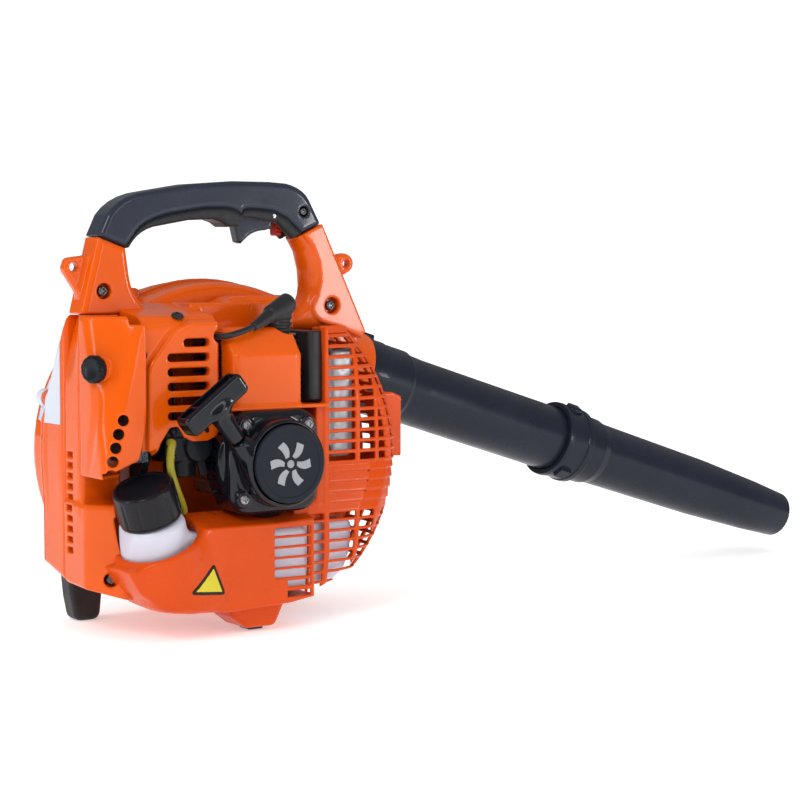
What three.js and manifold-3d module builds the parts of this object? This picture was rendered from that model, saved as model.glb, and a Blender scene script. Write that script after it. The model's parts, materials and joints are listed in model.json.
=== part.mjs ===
// Hand-held petrol leaf blower, in millimetres, +Z up.
// +X is the way the air leaves, -Y is the engine and starter side, +Y is the air intake side.
// The outer group moves the model so that its origin is under the engine-side foot.
import * as THREE from 'three';
import { mergeVertices } from 'three/addons/utils/BufferGeometryUtils.js';
import Module from 'manifold-3d';

// Driving dimensions
const crankHeight = 137;      // crank axis above the ground; the axis runs along Y at X = 0
const footY = -60;            // engine-side foot, straight below the crank axis
const seam = 0.3;             // gap between pieces that touch
const wall = 3;               // moulded wall thickness
const caseWidth = 78;         // fan case, from Y = 0
const caseSeamY = 39;         // where the two fan case halves meet
const voluteStart = 124;      // fan case radius at its tongue
const voluteEnd = 142;        // fan case radius where the duct leaves it
const impellerRadius = 86;
const intakeRadius = 60;
const tubeDrop = THREE.MathUtils.degToRad(17.5);
const tubeOffset = 104;       // blower tube axis to crank axis
const ductHalf = 37;          // half the height of the duct out of the fan case
const airBore = 30.5;         // bore of the fan case's outlet and of the nozzle's collar
const ductFloor = 88;         // distances along the tube axis, from here to nozzleEnd
const ductEnd = 107;
const socketEnd = 131;
const shoulderEnd = 175;
const tubeEnd = 391;
const nozzleStart = 359;
const nozzleBend = 552;
const nozzleTaper = 627;
const nozzleEnd = 668;
const bore = 17;              // cylinder bore radius
const crankThrow = 14;
const cylinderY = -35;
const gripTop = 360;
const handleFront = -28;
const handleBack = -0.4;
const pullAngle = THREE.MathUtils.degToRad(37);   // slant of the starter handle's bar

const crank = [0, crankHeight];
const tubeDirection = new THREE.Vector3(Math.cos(tubeDrop), 0, -Math.sin(tubeDrop));
const tubeNormal = new THREE.Vector3(Math.sin(tubeDrop), 0, Math.cos(tubeDrop));

const wasm = await Module();
wasm.setup();

// ---------------------------------------------------------------- solids from three.js geometry

function solid(geometry) {
  const bare = new THREE.BufferGeometry();
  bare.setAttribute('position', geometry.attributes.position.clone());
  bare.setIndex(geometry.index);
  const merged = mergeVertices(bare, 1e-4);
  const corner = (i) => new THREE.Vector3().fromBufferAttribute(merged.attributes.position, i);
  const triangles = [];
  let volume = 0;
  for (let i = 0; i < merged.index.count; i += 3) {
    const [a, b, c] = [0, 1, 2].map((k) => merged.index.getX(i + k));
    if (a === b || b === c || c === a) continue;
    triangles.push([a, b, c]);
    volume += corner(a).dot(corner(b).cross(corner(c)));
  }
  const outward = volume > 0 ? triangles : triangles.map(([a, b, c]) => [a, c, b]);
  return new wasm.Manifold(new wasm.Mesh({
    numProp: 3,
    vertProperties: Float32Array.from(merged.attributes.position.array),
    triVerts: Uint32Array.from(outward.flat()),
  }));
}

function geometryOf(body) {
  const mesh = body.getMesh();
  const geometry = new THREE.BufferGeometry();
  geometry.setAttribute('position', new THREE.BufferAttribute(mesh.vertProperties, 3));
  geometry.setIndex(new THREE.BufferAttribute(mesh.triVerts, 1));
  geometry.computeVertexNormals();
  return geometry;
}

function box(low, high) {
  const size = high.map((value, i) => value - low[i]);
  const middle = high.map((value, i) => (value + low[i]) / 2);
  return solid(new THREE.BoxGeometry(...size).translate(...middle));
}

// A flat outline in X and Z, given thickness along Y.
function plate(outline, lowY, highY, curveSegments = 6) {
  const shape = outline instanceof THREE.Shape ? outline
    : new THREE.Shape(outline.map(([x, z]) => new THREE.Vector2(x, z)));
  const geometry = new THREE.ExtrudeGeometry(shape, {
    depth: highY - lowY, bevelEnabled: false, curveSegments,
  });
  return solid(geometry.rotateX(Math.PI / 2).translate(0, highY, 0));
}

// A round bar along Y.
function disc(radius, [x, z], lowY, highY, sides = 20) {
  const geometry = new THREE.CylinderGeometry(radius, radius, highY - lowY, sides);
  return solid(geometry.translate(x, (lowY + highY) / 2, z));
}

// A round bar between any two points.
function bar(radius, start, end, sides = 12, endRadius = radius) {
  const from = new THREE.Vector3(...start);
  const to = new THREE.Vector3(...end);
  const length = from.distanceTo(to);
  const geometry = new THREE.CylinderGeometry(endRadius, radius, length, sides);
  const along = to.clone().sub(from).normalize();
  const turn = new THREE.Quaternion().setFromUnitVectors(new THREE.Vector3(0, 1, 0), along);
  geometry.applyQuaternion(turn);
  return solid(geometry.translate(...from.add(to).multiplyScalar(0.5).toArray()));
}

// A profile of [radius, height] turned about the Y axis.
function turned(profile, sides = 18) {
  return solid(new THREE.LatheGeometry(profile.map(([r, y]) => new THREE.Vector2(r, y)), sides));
}

function turnedOnCrank(profile, sides = 18) {
  return turned(profile, sides).translate([0, 0, crankHeight]);
}

// A solid round cord along a smooth curve through the points.
function cord(radius, points, steps) {
  const path = new THREE.CatmullRomCurve3(points.map((p) => new THREE.Vector3(...p)));
  const section = new THREE.Shape(new THREE.EllipseCurve(0, 0, radius, radius).getPoints(8).slice(0, 8));
  return solid(new THREE.ExtrudeGeometry(section, { steps, extrudePath: path }));
}

// A solid between two level outlines with the same number of points.
function tapered(lowPoints, lowZ, highPoints, highZ) {
  const count = lowPoints.length;
  const positions = [...lowPoints.map(([x, y]) => [x, y, lowZ]), ...highPoints.map(([x, y]) => [x, y, highZ])];
  const index = [];
  for (let i = 0; i < count; i += 1) {
    const next = (i + 1) % count;
    index.push(i, next, count + next, i, count + next, count + i);
    if (i > 0 && i < count - 1) {
      index.push(0, i + 1, i, count, count + i, count + i + 1);
    }
  }
  const geometry = new THREE.BufferGeometry();
  geometry.setAttribute('position', new THREE.Float32BufferAttribute(positions.flat(), 3));
  geometry.setIndex(index);
  return solid(geometry);
}

function union(bodies) {
  return bodies.reduce((sum, body) => sum.add(body));
}

// ---------------------------------------------------------------- materials and placing

function finish(color, roughness, metalness = 0) {
  return new THREE.MeshStandardMaterial({ color, roughness, metalness });
}

const orange = finish(0xe85f14, 0.32);
const blackPlastic = finish(0x22252c, 0.45);
const tubePlastic = finish(0x2b303c, 0.4);
const softBlack = finish(0x1c1e22, 0.75);
const castAlloy = finish(0x9a9da2, 0.45, 0.8);
const steel = finish(0x8d9096, 0.3, 1);
const tankPlastic = finish(0xd9dade, 0.4);
const redPlastic = finish(0xc0281e, 0.4);
const foam = finish(0x2c3440, 0.95);
const hoseRubber = finish(0xa7a231, 0.5);

const blower = new THREE.Group();
blower.position.y = -footY;

const tubeLine = new THREE.Group();
tubeLine.position.copy(tubeNormal).multiplyScalar(tubeOffset).add(new THREE.Vector3(0, caseSeamY, crankHeight));
tubeLine.quaternion.setFromUnitVectors(new THREE.Vector3(0, 1, 0), tubeDirection);
tubeLine.updateMatrix();
blower.add(tubeLine);

function part(name, body, material, group = blower) {
  const mesh = new THREE.Mesh(geometryOf(body), material);
  mesh.name = name;
  group.add(mesh);
}

// A point at a distance along the tube axis and a distance out from the crank axis.
function ductPoint(along, out) {
  const point = tubeNormal.clone().multiplyScalar(out).addScaledVector(tubeDirection, along);
  return [point.x, point.z + crankHeight];
}

function onTubeAxis(body) {
  return body.transform(tubeLine.matrix.toArray());
}

// ---------------------------------------------------------------- fan case, impeller and air tube

function voluteOutline(inset) {
  const points = [];
  const sweep = 270 + THREE.MathUtils.radToDeg(tubeDrop);
  const steps = 26;
  for (let i = 0; i <= steps; i += 1) {
    const turn = THREE.MathUtils.degToRad((sweep * i) / steps);
    const radius = voluteStart + ((voluteEnd - voluteStart) * i) / steps - inset;
    points.push([radius * Math.cos(turn), crankHeight - radius * Math.sin(turn)]);
  }
  const half = ductHalf - inset;
  points.push(ductPoint(ductEnd - inset, tubeOffset + half));
  points.push(ductPoint(ductEnd - inset, tubeOffset - half));
  points.push(ductPoint(ductFloor - inset, tubeOffset - half));
  return points;
}

function fanCase() {
  const socket = onTubeAxis(turned([
    [0, ductEnd - 8], [ductHalf, ductEnd - 8], [ductHalf - 2, socketEnd], [0, socketEnd],
  ]));
  const outlet = onTubeAxis(turned([
    [0, ductEnd - 25], [airBore, ductEnd - 25], [airBore, socketEnd + 1], [0, socketEnd + 1],
  ]));
  return plate(voluteOutline(0), 0, caseWidth)
    .add(socket)
    .subtract(plate(voluteOutline(wall), wall, caseWidth - wall))
    .subtract(outlet);
}

function fanCaseHalf(lowY, highY) {
  return fanCase().intersect(box([-400, lowY, -50], [400, highY, 400]));
}

function intakeGuard() {
  const rimRadius = 88;
  const grid = new THREE.Shape().absarc(0, crankHeight, rimRadius, 0, 2 * Math.PI);
  const spokes = 4;
  for (const middle of [30, 64]) {
    for (let i = 0; i < spokes; i += 1) {
      const start = ((i + 0.06) * 2 * Math.PI) / spokes;
      const end = ((i + 0.94) * 2 * Math.PI) / spokes;
      const slot = new THREE.Path().absarc(0, crankHeight, middle + 14, start, end, false);
      slot.absarc(0, crankHeight, middle - 14, end, start, true);
      grid.holes.push(slot);
    }
  }
  const rim = turnedOnCrank([
    [rimRadius - wall, caseWidth + seam], [rimRadius, caseWidth + seam],
    [rimRadius, caseWidth + 16], [rimRadius - wall, caseWidth + 16], [rimRadius - wall, caseWidth + seam],
  ]);
  return rim.add(plate(grid, caseWidth + 15, caseWidth + 19, 5));
}

function impeller() {
  const hub = turnedOnCrank([
    [6.3, 9], [impellerRadius, 9], [impellerRadius, 11.5], [15, 15], [13, 54], [6.3, 54], [6.3, 9],
  ], 32);
  const blades = 12;
  const blade = box([34, 10, -1.2], [impellerRadius - 1, 60, 1.2]);
  const ring = [hub];
  for (let i = 0; i < blades; i += 1) {
    ring.push(blade.rotate([0, (360 * i) / blades, 0]).translate([0, 0, crankHeight]));
  }
  return union(ring);
}

part('fan_case_inner', fanCaseHalf(-1, caseSeamY - seam / 2).subtract(disc(14, crank, -1, 5)), orange);
part('fan_case_outer', fanCaseHalf(caseSeamY + seam / 2, 80).subtract(disc(intakeRadius, crank, 70, 80, 32)), orange);
part('intake_guard', intakeGuard(), blackPlastic);
part('impeller', impeller(), blackPlastic);
part('impeller_nut', disc(9, crank, 54 + seam, 61, 6).subtract(disc(6.3, crank, 50, 70)), steel);

part('blower_tube', turned([
  [27.5, ductEnd + 5], [29.8, ductEnd + 5], [29.8, socketEnd + 0.6], [33, socketEnd + 0.6], [33, shoulderEnd],
  [30, shoulderEnd + 4], [30, tubeEnd], [27.5, tubeEnd], [27.5, ductEnd + 5],
], 24), tubePlastic, tubeLine);
part('nozzle', turned([
  [airBore, nozzleStart], [35.5, nozzleStart], [35.5, nozzleStart + 30], [32, nozzleStart + 31],
  [32, nozzleStart + 50], [29, nozzleStart + 55], [28, nozzleBend], [25, nozzleTaper], [22, nozzleEnd],
  [20, nozzleEnd], [22.8, nozzleTaper], [25.8, nozzleBend], [26.8, nozzleStart + 55], [27, tubeEnd + 2],
  [airBore, tubeEnd + 2], [airBore, nozzleStart],
], 24), tubePlastic, tubeLine);

// ---------------------------------------------------------------- handle

// Both ends of the grip meet the arms on slanted seams.
const rearSeam = { outer: [-121, 315], inner: [-97, 306] };
const frontSeam = { outer: [82, 326], inner: [55, 312] };
const triggerPivot = [38, 332];
const triggerFront = -20;
const triggerBack = -8;

function strapLug(x, z, reach) {
  const link = box([Math.min(x, x + reach), -18, z - 7], [Math.max(x, x + reach), -9, z + 7]);
  return disc(8, [x, z], -18, -9, 20).add(link);
}

function lugHole(x, z) {
  return disc(4, [x, z], -30, 0, 16);
}

function rearArm() {
  const outline = new THREE.Shape().moveTo(...rearSeam.outer).lineTo(-136, 254).lineTo(-60, 254);
  outline.quadraticCurveTo(-94, 260, -97, rearSeam.inner[1] - seam);
  outline.lineTo(rearSeam.outer[0], rearSeam.outer[1] - seam);
  return plate(outline, handleFront, handleBack).add(strapLug(-138, 291, 12)).subtract(lugHole(-138, 291));
}

function frontArm() {
  const outline = new THREE.Shape().moveTo(frontSeam.outer[0], frontSeam.outer[1] - seam).lineTo(122, 244);
  outline.lineTo(46, 244);
  outline.quadraticCurveTo(66, 262, frontSeam.inner[0], frontSeam.inner[1] - seam);
  return plate(outline, handleFront, handleBack).add(strapLug(113, 293, -14)).subtract(lugHole(113, 293));
}

function grip() {
  const outline = new THREE.Shape().moveTo(...rearSeam.outer);
  outline.quadraticCurveTo(-108, 350, -60, 355);
  outline.quadraticCurveTo(-10, gripTop + 2, 48, gripTop - 2);
  outline.quadraticCurveTo(66, 356, 72, 343);
  outline.lineTo(...frontSeam.outer);
  outline.lineTo(...frontSeam.inner);
  outline.quadraticCurveTo(48, 324, 34, 326);
  outline.lineTo(-52, 330 + seam);
  outline.quadraticCurveTo(-84, 326 + seam, rearSeam.inner[0], rearSeam.inner[1]);
  const pocket = box([-1, -21.5, 295], [42, -6.5, 350]).add(box([41, -21.5, 295], [60, -6.5, 332]));
  return plate(outline, handleFront, handleBack)
    .subtract(pocket)
    .subtract(disc(2, triggerPivot, -40, 10, 12));
}

function gripInsert() {
  const outline = new THREE.Shape().moveTo(-4, 324).lineTo(-4, 326.4 - seam).lineTo(-52, 330 - seam);
  outline.quadraticCurveTo(-80, 326 - seam, -92, 314);
  outline.quadraticCurveTo(-76, 323, -52, 325);
  return plate(outline, handleFront + 2, handleBack - 2).subtract(grip().translate([seam, 0, -seam]));
}

function trigger() {
  const outline = new THREE.Shape().moveTo(2, 336).lineTo(8, 311).lineTo(14, 310);
  outline.quadraticCurveTo(24, 322, 38, 321);
  outline.lineTo(40, 337);
  return plate(outline, triggerFront, triggerBack).subtract(disc(2.1, triggerPivot, -30, 0, 12));
}

part('rear_handle_arm', rearArm(), orange);
part('front_handle_arm', frontArm(), orange);
part('handle_grip', grip(), blackPlastic);
part('grip_insert', gripInsert(), softBlack);
part('throttle_trigger', trigger(), blackPlastic);
part('trigger_pin', disc(1.7, triggerPivot, handleFront + 1, handleBack - 1, 12), steel);
part('stop_switch', box([43.5, -19, 316], [50, -9, 331]), redPlastic);

// ---------------------------------------------------------------- engine

const webRadius = 20;
const rodEndRadius = 9;
const crankCavity = crankThrow + rodEndRadius + 1;
const rodWidth = 7;

function crankcase() {
  const block = box([-30, -58, 110], [30, -12, 162])
    .add(disc(30, crank, -58, -12).intersect(box([-40, -60, 100], [40, 0, 162])));
  const cavity = turnedOnCrank([
    [0, -60], [9, -60], [9, -57], [13.3, -57], [13.3, -49.6], [crankCavity, -49.6], [crankCavity, -20.4],
    [13.3, -20.4], [13.3, -13.6], [9, -13.6], [9, -10], [0, -10],
  ]);
  return block.subtract(cavity).subtract(bar(bore + 0.5, [0, cylinderY, 140], [0, cylinderY, 170], 18));
}

function cylinderBlock() {
  const pieces = [bar(22, [0, cylinderY, 162 + seam], [0, cylinderY, 235], 16)];
  const flange = box([-29, -57, 162 + seam], [29, -13, 168]);
  pieces.push(flange);
  for (let fin = 0; fin < 6; fin += 1) {
    const z = 183 + 10 * fin;
    pieces.push(box([-30, -74, z], [40, -4, z + 3]));
  }
  return union(pieces).subtract(bar(bore + 0.3, [0, cylinderY, 160], [0, cylinderY, 222], 18));
}

function bearing(lowY) {
  return turnedOnCrank([[6.2, lowY], [13, lowY], [13, lowY + 6.5], [6.2, lowY + 6.5], [6.2, lowY]]);
}

function flywheel() {
  const pieces = [turnedOnCrank([[5.2, -76], [9, -76], [10, -68], [35, -66], [35, -62], [5.2, -62], [5.2, -76]])];
  const fins = 10;
  for (let i = 0; i < fins; i += 1) {
    const fin = box([14, -75, -1], [33, -65, 1]);
    pieces.push(fin.rotate([0, (360 * i) / fins, 0]).translate([0, 0, crankHeight]));
  }
  return union(pieces);
}

const pinZ = crankHeight - crankThrow;
part('crankcase', crankcase(), castAlloy);
part('cylinder', cylinderBlock(), castAlloy);
part('main_bearing_fan_side', bearing(-20.3), steel);
part('main_bearing_starter_side', bearing(-56.5), steel);
part('crankshaft_fan_half', turnedOnCrank([
  [0, -30], [webRadius, -30], [webRadius, -23], [6, -23], [6, 62], [0, 62],
]), steel);
part('crankshaft_starter_half', turnedOnCrank([
  [0, -79], [5, -79], [5, -60], [6, -60], [6, -47], [webRadius, -47], [webRadius, -40], [0, -40],
]), steel);
part('crank_pin', disc(4.5, [0, pinZ], -39.6, -30.4, 16), steel);
part('connecting_rod', disc(rodEndRadius, [0, pinZ], cylinderY - rodWidth / 2, cylinderY + rodWidth / 2, 20)
  .add(box([-4, cylinderY - rodWidth / 2, pinZ], [4, cylinderY + rodWidth / 2, 162 - seam]))
  .subtract(disc(4.8, [0, pinZ], -60, -10, 16)), steel);
part('piston', bar(bore - 0.1, [0, cylinderY, 162], [0, cylinderY, 187], 18), castAlloy);
part('flywheel', flywheel(), castAlloy);
part('ignition_coil', box([33, -58, 116], [54, -38, 146]).add(box([33, -54, 146], [54, -42, 152])), blackPlastic);
part('muffler', box([62, -57, 138], [96, -16, 222])
  .subtract(box([64, -55, 140], [94, -18, 220]))
  .subtract(bar(5, [78, -30, 130], [78, -30, 150])), steel);

const plug = [26, -52];
part('spark_plug', bar(8, [...plug, 236 + seam], [...plug, 243], 6).add(bar(4, [...plug, 240], [...plug, 254], 12)), steel);
part('plug_boot', disc(14, [21, 252], -68, -43)
  .add(bar(7, [16, -64, 252], [-14, -76, 249], 16, 4.5))
  .subtract(bar(8.5, [...plug, 230], [...plug, 243 + seam], 16))
  .subtract(bar(4.3, [...plug, 240], [...plug, 254 + seam], 16)), softBlack);
part('ignition_lead', cord(2.5, [
  [-14.6, -76.4, 248.8], [-22, -80, 249], [-32, -86, 247], [-38, -81, 241], [-38, -73, 237], [-38, -58, 235],
], 14), softBlack);

// ---------------------------------------------------------------- fuel tank

const neckDirection = new THREE.Vector3(-0.358, -0.195, 0.913).normalize();
const neckBase = new THREE.Vector3(-84, -63, 55);
const neckLength = 52;

function neckPoint(along) {
  return neckBase.clone().addScaledVector(neckDirection, along).toArray();
}

function capProfile(profile) {
  const turn = new THREE.Quaternion().setFromUnitVectors(new THREE.Vector3(0, 1, 0), neckDirection);
  const base = new THREE.Vector3(...neckPoint(neckLength));
  const matrix = new THREE.Matrix4().compose(base, turn, new THREE.Vector3(1, 1, 1));
  return turned(profile, 32).transform(matrix.toArray());
}

const capRadius = 25;
const capHeight = 27;
const capSweep = bar(capRadius + 3.5, neckPoint(neckLength - 8), neckPoint(neckLength + capHeight + 11), 28);
const neckSweep = bar(32, neckPoint(-40), neckPoint(neckLength + 2), 28);

// The space inside the muffler guard, less a margin.
function insideGuard(margin) {
  return turnedOnCrank([
    [0, margin - 77], [94 - margin, margin - 77], [109 - margin, margin - 73], [121 - margin, margin - 63],
    [129 - margin, -46], [133 - margin, -25], [133 - margin, 0], [0, 0],
  ], 36);
}

function fuelTank() {
  const body = box([0, -90, 24], [84, -26, 84]).intersect(insideGuard(1.5))
    .add(box([-84, -87, 24], [34, -26, 84]))
    .add(bar(30, neckPoint(0), neckPoint(neckLength - 8), 28, 25))
    .add(bar(18, neckPoint(20), neckPoint(neckLength + 9), 28));
  const hollow = box([0, -90, 27], [81, -29, 81]).intersect(insideGuard(4.5))
    .add(box([-81, -84, 27], [31, -29, 81]))
    .add(bar(15, neckPoint(5), neckPoint(neckLength + 12), 28));
  return body.subtract(hollow);
}

part('fuel_tank', fuelTank(), tankPlastic);
part('cap_gasket', capProfile([[18.4, -6], [24, -6], [24, -4.5], [18.4, -4.5], [18.4, -6]]), softBlack);
part('fuel_cap', capProfile([
  [0, 12], [18.4, 12], [18.4, -4.2], [capRadius, -4.2], [capRadius, capHeight - 8],
  [capRadius - 3, capHeight - 4.2], [0, capHeight - 4.2],
]), blackPlastic);

// ---------------------------------------------------------------- carburettor and air cleaner

const intakeY = -50;
const intakeZ = 152;
const chokePivot = [-58, 150];

function alongX(radius, lowX, highX) {
  return bar(radius, [lowX, intakeY, intakeZ], [highX, intakeY, intakeZ], 20);
}

part('insulator', box([-46, -59, 138], [-30.5, -41, 166]).subtract(alongX(7, -50, -20)), blackPlastic);
part('carburettor', box([-84, -66, 136], [-46.4, -38, 168])
  .add(bar(13, [-65, -52, 126], [-65, -52, 140], 20))
  .subtract(alongX(7, -90, -40)), castAlloy);
part('air_cleaner_base', box([-99.2, -64, 126], [-95, -33, 240]).add(alongX(10, -96, -84.3))
  .subtract(alongX(7, -110, -80)).subtract(capSweep), blackPlastic);
part('air_filter', box([-117, -66, 140], [-99.5, -36, 225]), foam);
part('choke_lever', disc(5, chokePivot, -69, -66.3, 16)
  .add(plate([[-60, 148], [-55, 128], [-49, 128], [-54, 150]], -69, -66.3)), blackPlastic);
part('throttle_cable', cord(1.5, [
  [-66, -46, 168.5], [-66, -43, 200], [-66, -24, 235], [-66, -16, 253.5],
], 16), softBlack);
part('fuel_hose', cord(2.5, [
  [-60, -50, 84.4], [-60, -50, 90], [-66, -60, 102], [-77, -70, 118], [-84, -74, 134], [-84, -74, 147],
  [-81.5, -72, 154], [-81, -67, 154.5],
], 18), hoseRubber);

// ---------------------------------------------------------------- engine covers

function slot(lowX, highX, z, height) {
  const radius = height / 2;
  const shape = new THREE.Shape().moveTo(lowX + radius, z - radius).lineTo(highX - radius, z - radius);
  shape.absarc(highX - radius, z, radius, -Math.PI / 2, Math.PI / 2, false);
  shape.absarc(lowX + radius, z, radius, Math.PI / 2, 1.5 * Math.PI, false);
  return plate(shape, -75, -60);
}

function engineShroud() {
  const panel = plate([
    [-98, 128], [-98, 238], [-90, 248], [-78, 251], [-31, 251], [-31, 181], [-60, 176], [-88, 160], [-90, 128],
  ], -70, -67);
  const slots = [slot(-70, -47, 232, 6.5)];
  for (let row = 1; row < 6; row += 1) {
    slots.push(slot(-84, -47, 232 - 11.4 * row, 6.5));
  }
  const bulge = plate([[-33, 180.5], [-33, 236], [-27, 242], [37, 242], [37, 180.5]], -84.5, -82);
  const walls = [
    box([-90, -70, 248], [-31, -29, 251]),
    box([-33, -84.5, 180.5], [-30.5, -52, 240]),
    box([-33, -84.5, 180.5], [37, -76, 183]),
    box([-33, -84.5, 239.5], [5, -29, 242]),
  ];
  return union([panel.subtract(union(slots)), bulge, ...walls])
    .subtract(disc(5, [-38, 236.5], -75, -60, 16))
    .subtract(capSweep);
}

const guardRadius = 139;

function mufflerGuard() {
  const shell = turnedOnCrank([
    [0, -80], [97, -80], [117, -76], [130, -66], [137, -52], [guardRadius, -25], [guardRadius, -0.4],
    [guardRadius - wall, -0.4], [guardRadius - wall, -25], [134, -51], [127.5, -64], [115.5, -73.3], [97, -77.2], [0, -77.2],
  ], 28);
  const upper = box([57, -90, 96], [150, 0, 243]);
  const lower = box([37, -90, 19], [150, 0, 96.5]);
  const flange = box([guardRadius - 4, -46, 128], [guardRadius + 5, -20, 140]);
  const windows = [];
  for (const row of [38, 56, 74, 140, 158, 176, 194, 212]) {
    const columns = row < 100 ? [[41, 56], [61, 76], [81, 94]] : [[61, 76], [81, 94]];
    columns.forEach(([left, right]) => windows.push(box([left, -90, row], [right, -50, row + 12])));
  }
  for (const row of [102, 120, 140, 158, 176]) {
    windows.push(box([118, -44, row], [150, -12, row + 12]));
  }
  return shell.intersect(upper.add(lower)).subtract(union(windows)).add(flange);
}

function tankGuard() {
  const front = plate([
    [-98, 28], [-88, 19], [36, 19], [36, 88], [-4, 91], [-66, 91], [-78, 84], [-98, 84],
  ], -92, -89);
  const ledge = new THREE.Shape([[-92, 88], [-92, 91], [-64, 95], [-64, 92]].map(([y, z]) => new THREE.Vector2(y, z)));
  const ledgeGeometry = new THREE.ExtrudeGeometry(ledge, { depth: 92, bevelEnabled: false });
  ledgeGeometry.applyMatrix4(new THREE.Matrix4().makeBasis(
    new THREE.Vector3(0, 1, 0), new THREE.Vector3(0, 0, 1), new THREE.Vector3(1, 0, 0)));
  const pocket = bar(36, neckPoint(-12), neckPoint(26), 28).intersect(box([-98, -140, 26], [0, -89.5, 140]));
  const slots = [];
  for (let row = 0; row < 5; row += 1) {
    slots.push(box([-4, -95, 38 + 9.5 * row], [32, -85, 43.5 + 9.5 * row]));
  }
  return union([
    front,
    solid(ledgeGeometry).translate([-62, 0, 0]),
    box([-88, -92, 19], [36, -0.4, 22]),
    box([-98, -92, 28], [-95, -62, 80]),
    plate([[-98, 28], [-98, 32], [-88, 22], [-84, 22], [-84, 19], [-88, 19]], -92, -0.4),
    pocket,
    box([-18, -78, 6.3], [18, -42, 20]),
  ]).subtract(neckSweep).subtract(capSweep).subtract(union(slots));
}

const cleanerLow = [[-99.5, -75], [-137, -75], [-140, -70], [-140, -30], [-99.5, -30]];
const cleanerHigh = [[-99.5, -75], [-112, -75], [-138, -42], [-140, -30], [-99.5, -30]];
const hollowLow = [[-99, -72.5], [-135.5, -72.5], [-137.5, -69], [-137.5, -32.5], [-99, -32.5]];
const hollowHigh = [[-99, -72.5], [-113, -72.5], [-135.5, -42], [-137.5, -32.5], [-99, -32.5]];
const cleanerBlock = tapered(cleanerLow, 128, cleanerHigh, 253);

const knobBase = new THREE.Vector3(-134.5, -56, 213);
const knobOut = new THREE.Vector3(-0.93, -0.37, 0).normalize();

function knobPoint(along) {
  return knobBase.clone().addScaledVector(knobOut, along).toArray();
}

function airCleanerCover() {
  const vents = [];
  for (let i = 0; i < 5; i += 1) {
    const x = -125 + 2.4 * i;
    const z = 143 + 11 * i;
    vents.push(disc(4, [x, z], -90, -70, 10));
  }
  return cleanerBlock.subtract(tapered(hollowLow, 130.5, hollowHigh, 250.5))
    .subtract(capSweep)
    .subtract(union(vents))
    .subtract(bar(6.4, knobPoint(-8), knobPoint(8), 20))
    .subtract(bar(11.5, knobPoint(3.6), knobPoint(14), 20));
}

function coverKnob() {
  return bar(6, knobPoint(-2), knobPoint(5), 20).add(bar(11, knobPoint(4), knobPoint(12), 24));
}

function rearCasing() {
  const outline = [[-98.5, -62], [-118, -60], [-140, -36], [-140, -0.4], [-98.5, -0.4]];
  const inner = [[-98, -59], [-116.6, -57], [-137, -35], [-137, -3.4], [-98, -3.4]];
  const lower = tapered(outline, 24, outline, 106).subtract(tapered(inner, 27, inner, 103));
  const column = box([-140, -29.6, 105], [-104, -0.4, 253.7]).subtract(box([-137, -26.6, 100], [-107, -3.4, 250]));
  const vents = [];
  for (let i = 0; i < 10; i += 1) {
    vents.push(box([-142, -14, 66 + 8.4 * i], [-134, -5, 70.4 + 8.4 * i]));
  }
  return lower.add(column).subtract(union(vents)).subtract(capSweep).subtract(neckSweep);
}

part('engine_shroud', engineShroud(), orange);
part('muffler_guard', mufflerGuard(), orange);
part('tank_guard', tankGuard(), orange);
part('air_cleaner_cover', airCleanerCover(), orange);
part('cover_knob', coverKnob(), blackPlastic);
part('rear_casing', rearCasing(), orange);

// ---------------------------------------------------------------- recoil starter

const ropeY = -101;
const ropeRadius = 20;
const pull = new THREE.Vector3(-Math.sin(pullAngle), 0, Math.cos(pullAngle));
const ropeTangent = new THREE.Vector3(
  -Math.cos(pullAngle) * ropeRadius, ropeY, crankHeight - Math.sin(pullAngle) * ropeRadius);
const ropeExit = 38.5;        // distances along the rope from where it leaves the reel
const handleCentre = 75;

function ropePoint(along) {
  return ropeTangent.clone().addScaledVector(pull, along).toArray();
}

function roundedSquare(half, corner) {
  const shape = new THREE.Shape();
  const near = half - corner;
  shape.absarc(near, crankHeight + near, corner, 0, Math.PI / 2, false);
  shape.absarc(-near, crankHeight + near, corner, Math.PI / 2, Math.PI, false);
  shape.absarc(-near, crankHeight - near, corner, Math.PI, 1.5 * Math.PI, false);
  shape.absarc(near, crankHeight - near, corner, 1.5 * Math.PI, 2 * Math.PI, false);
  return shape;
}

function starterHousing() {
  const cup = plate(roundedSquare(41, 18), -92, -60, 4)
    .add(disc(35, crank, -111, -91, 24))
    .add(bar(8, ropePoint(20), ropePoint(ropeExit), 20));
  const inside = plate(roundedSquare(38, 15), -89, -59, 4).add(disc(31.5, crank, -108.5, -88, 24));
  return cup.subtract(inside)
    .add(disc(5, crank, -109, -82, 20))
    .subtract(bar(3, ropePoint(10), ropePoint(ropeExit + 5), 12));
}

function starterHandle() {
  const outline = new THREE.Shape();
  const halfLength = 30;
  const round = 6;
  outline.absarc(halfLength - round, 10 - round, round, 0, Math.PI / 2, false);
  outline.absarc(round - halfLength, 10 - round, round, Math.PI / 2, Math.PI, false);
  outline.absarc(round - halfLength, round - 8, round, Math.PI, 1.5 * Math.PI, false);
  outline.absarc(halfLength - round, round - 8, round, 1.5 * Math.PI, 2 * Math.PI, false);
  const grab = plate(outline, -8.5, 8.5).rotate([0, -THREE.MathUtils.radToDeg(pullAngle), 0])
    .translate(ropePoint(handleCentre));
  return grab.add(bar(7, ropePoint(ropeExit + 1), ropePoint(handleCentre), 20, 9))
    .subtract(bar(2.4, ropePoint(ropeExit - 1), ropePoint(ropeExit + 10), 12));
}

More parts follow.
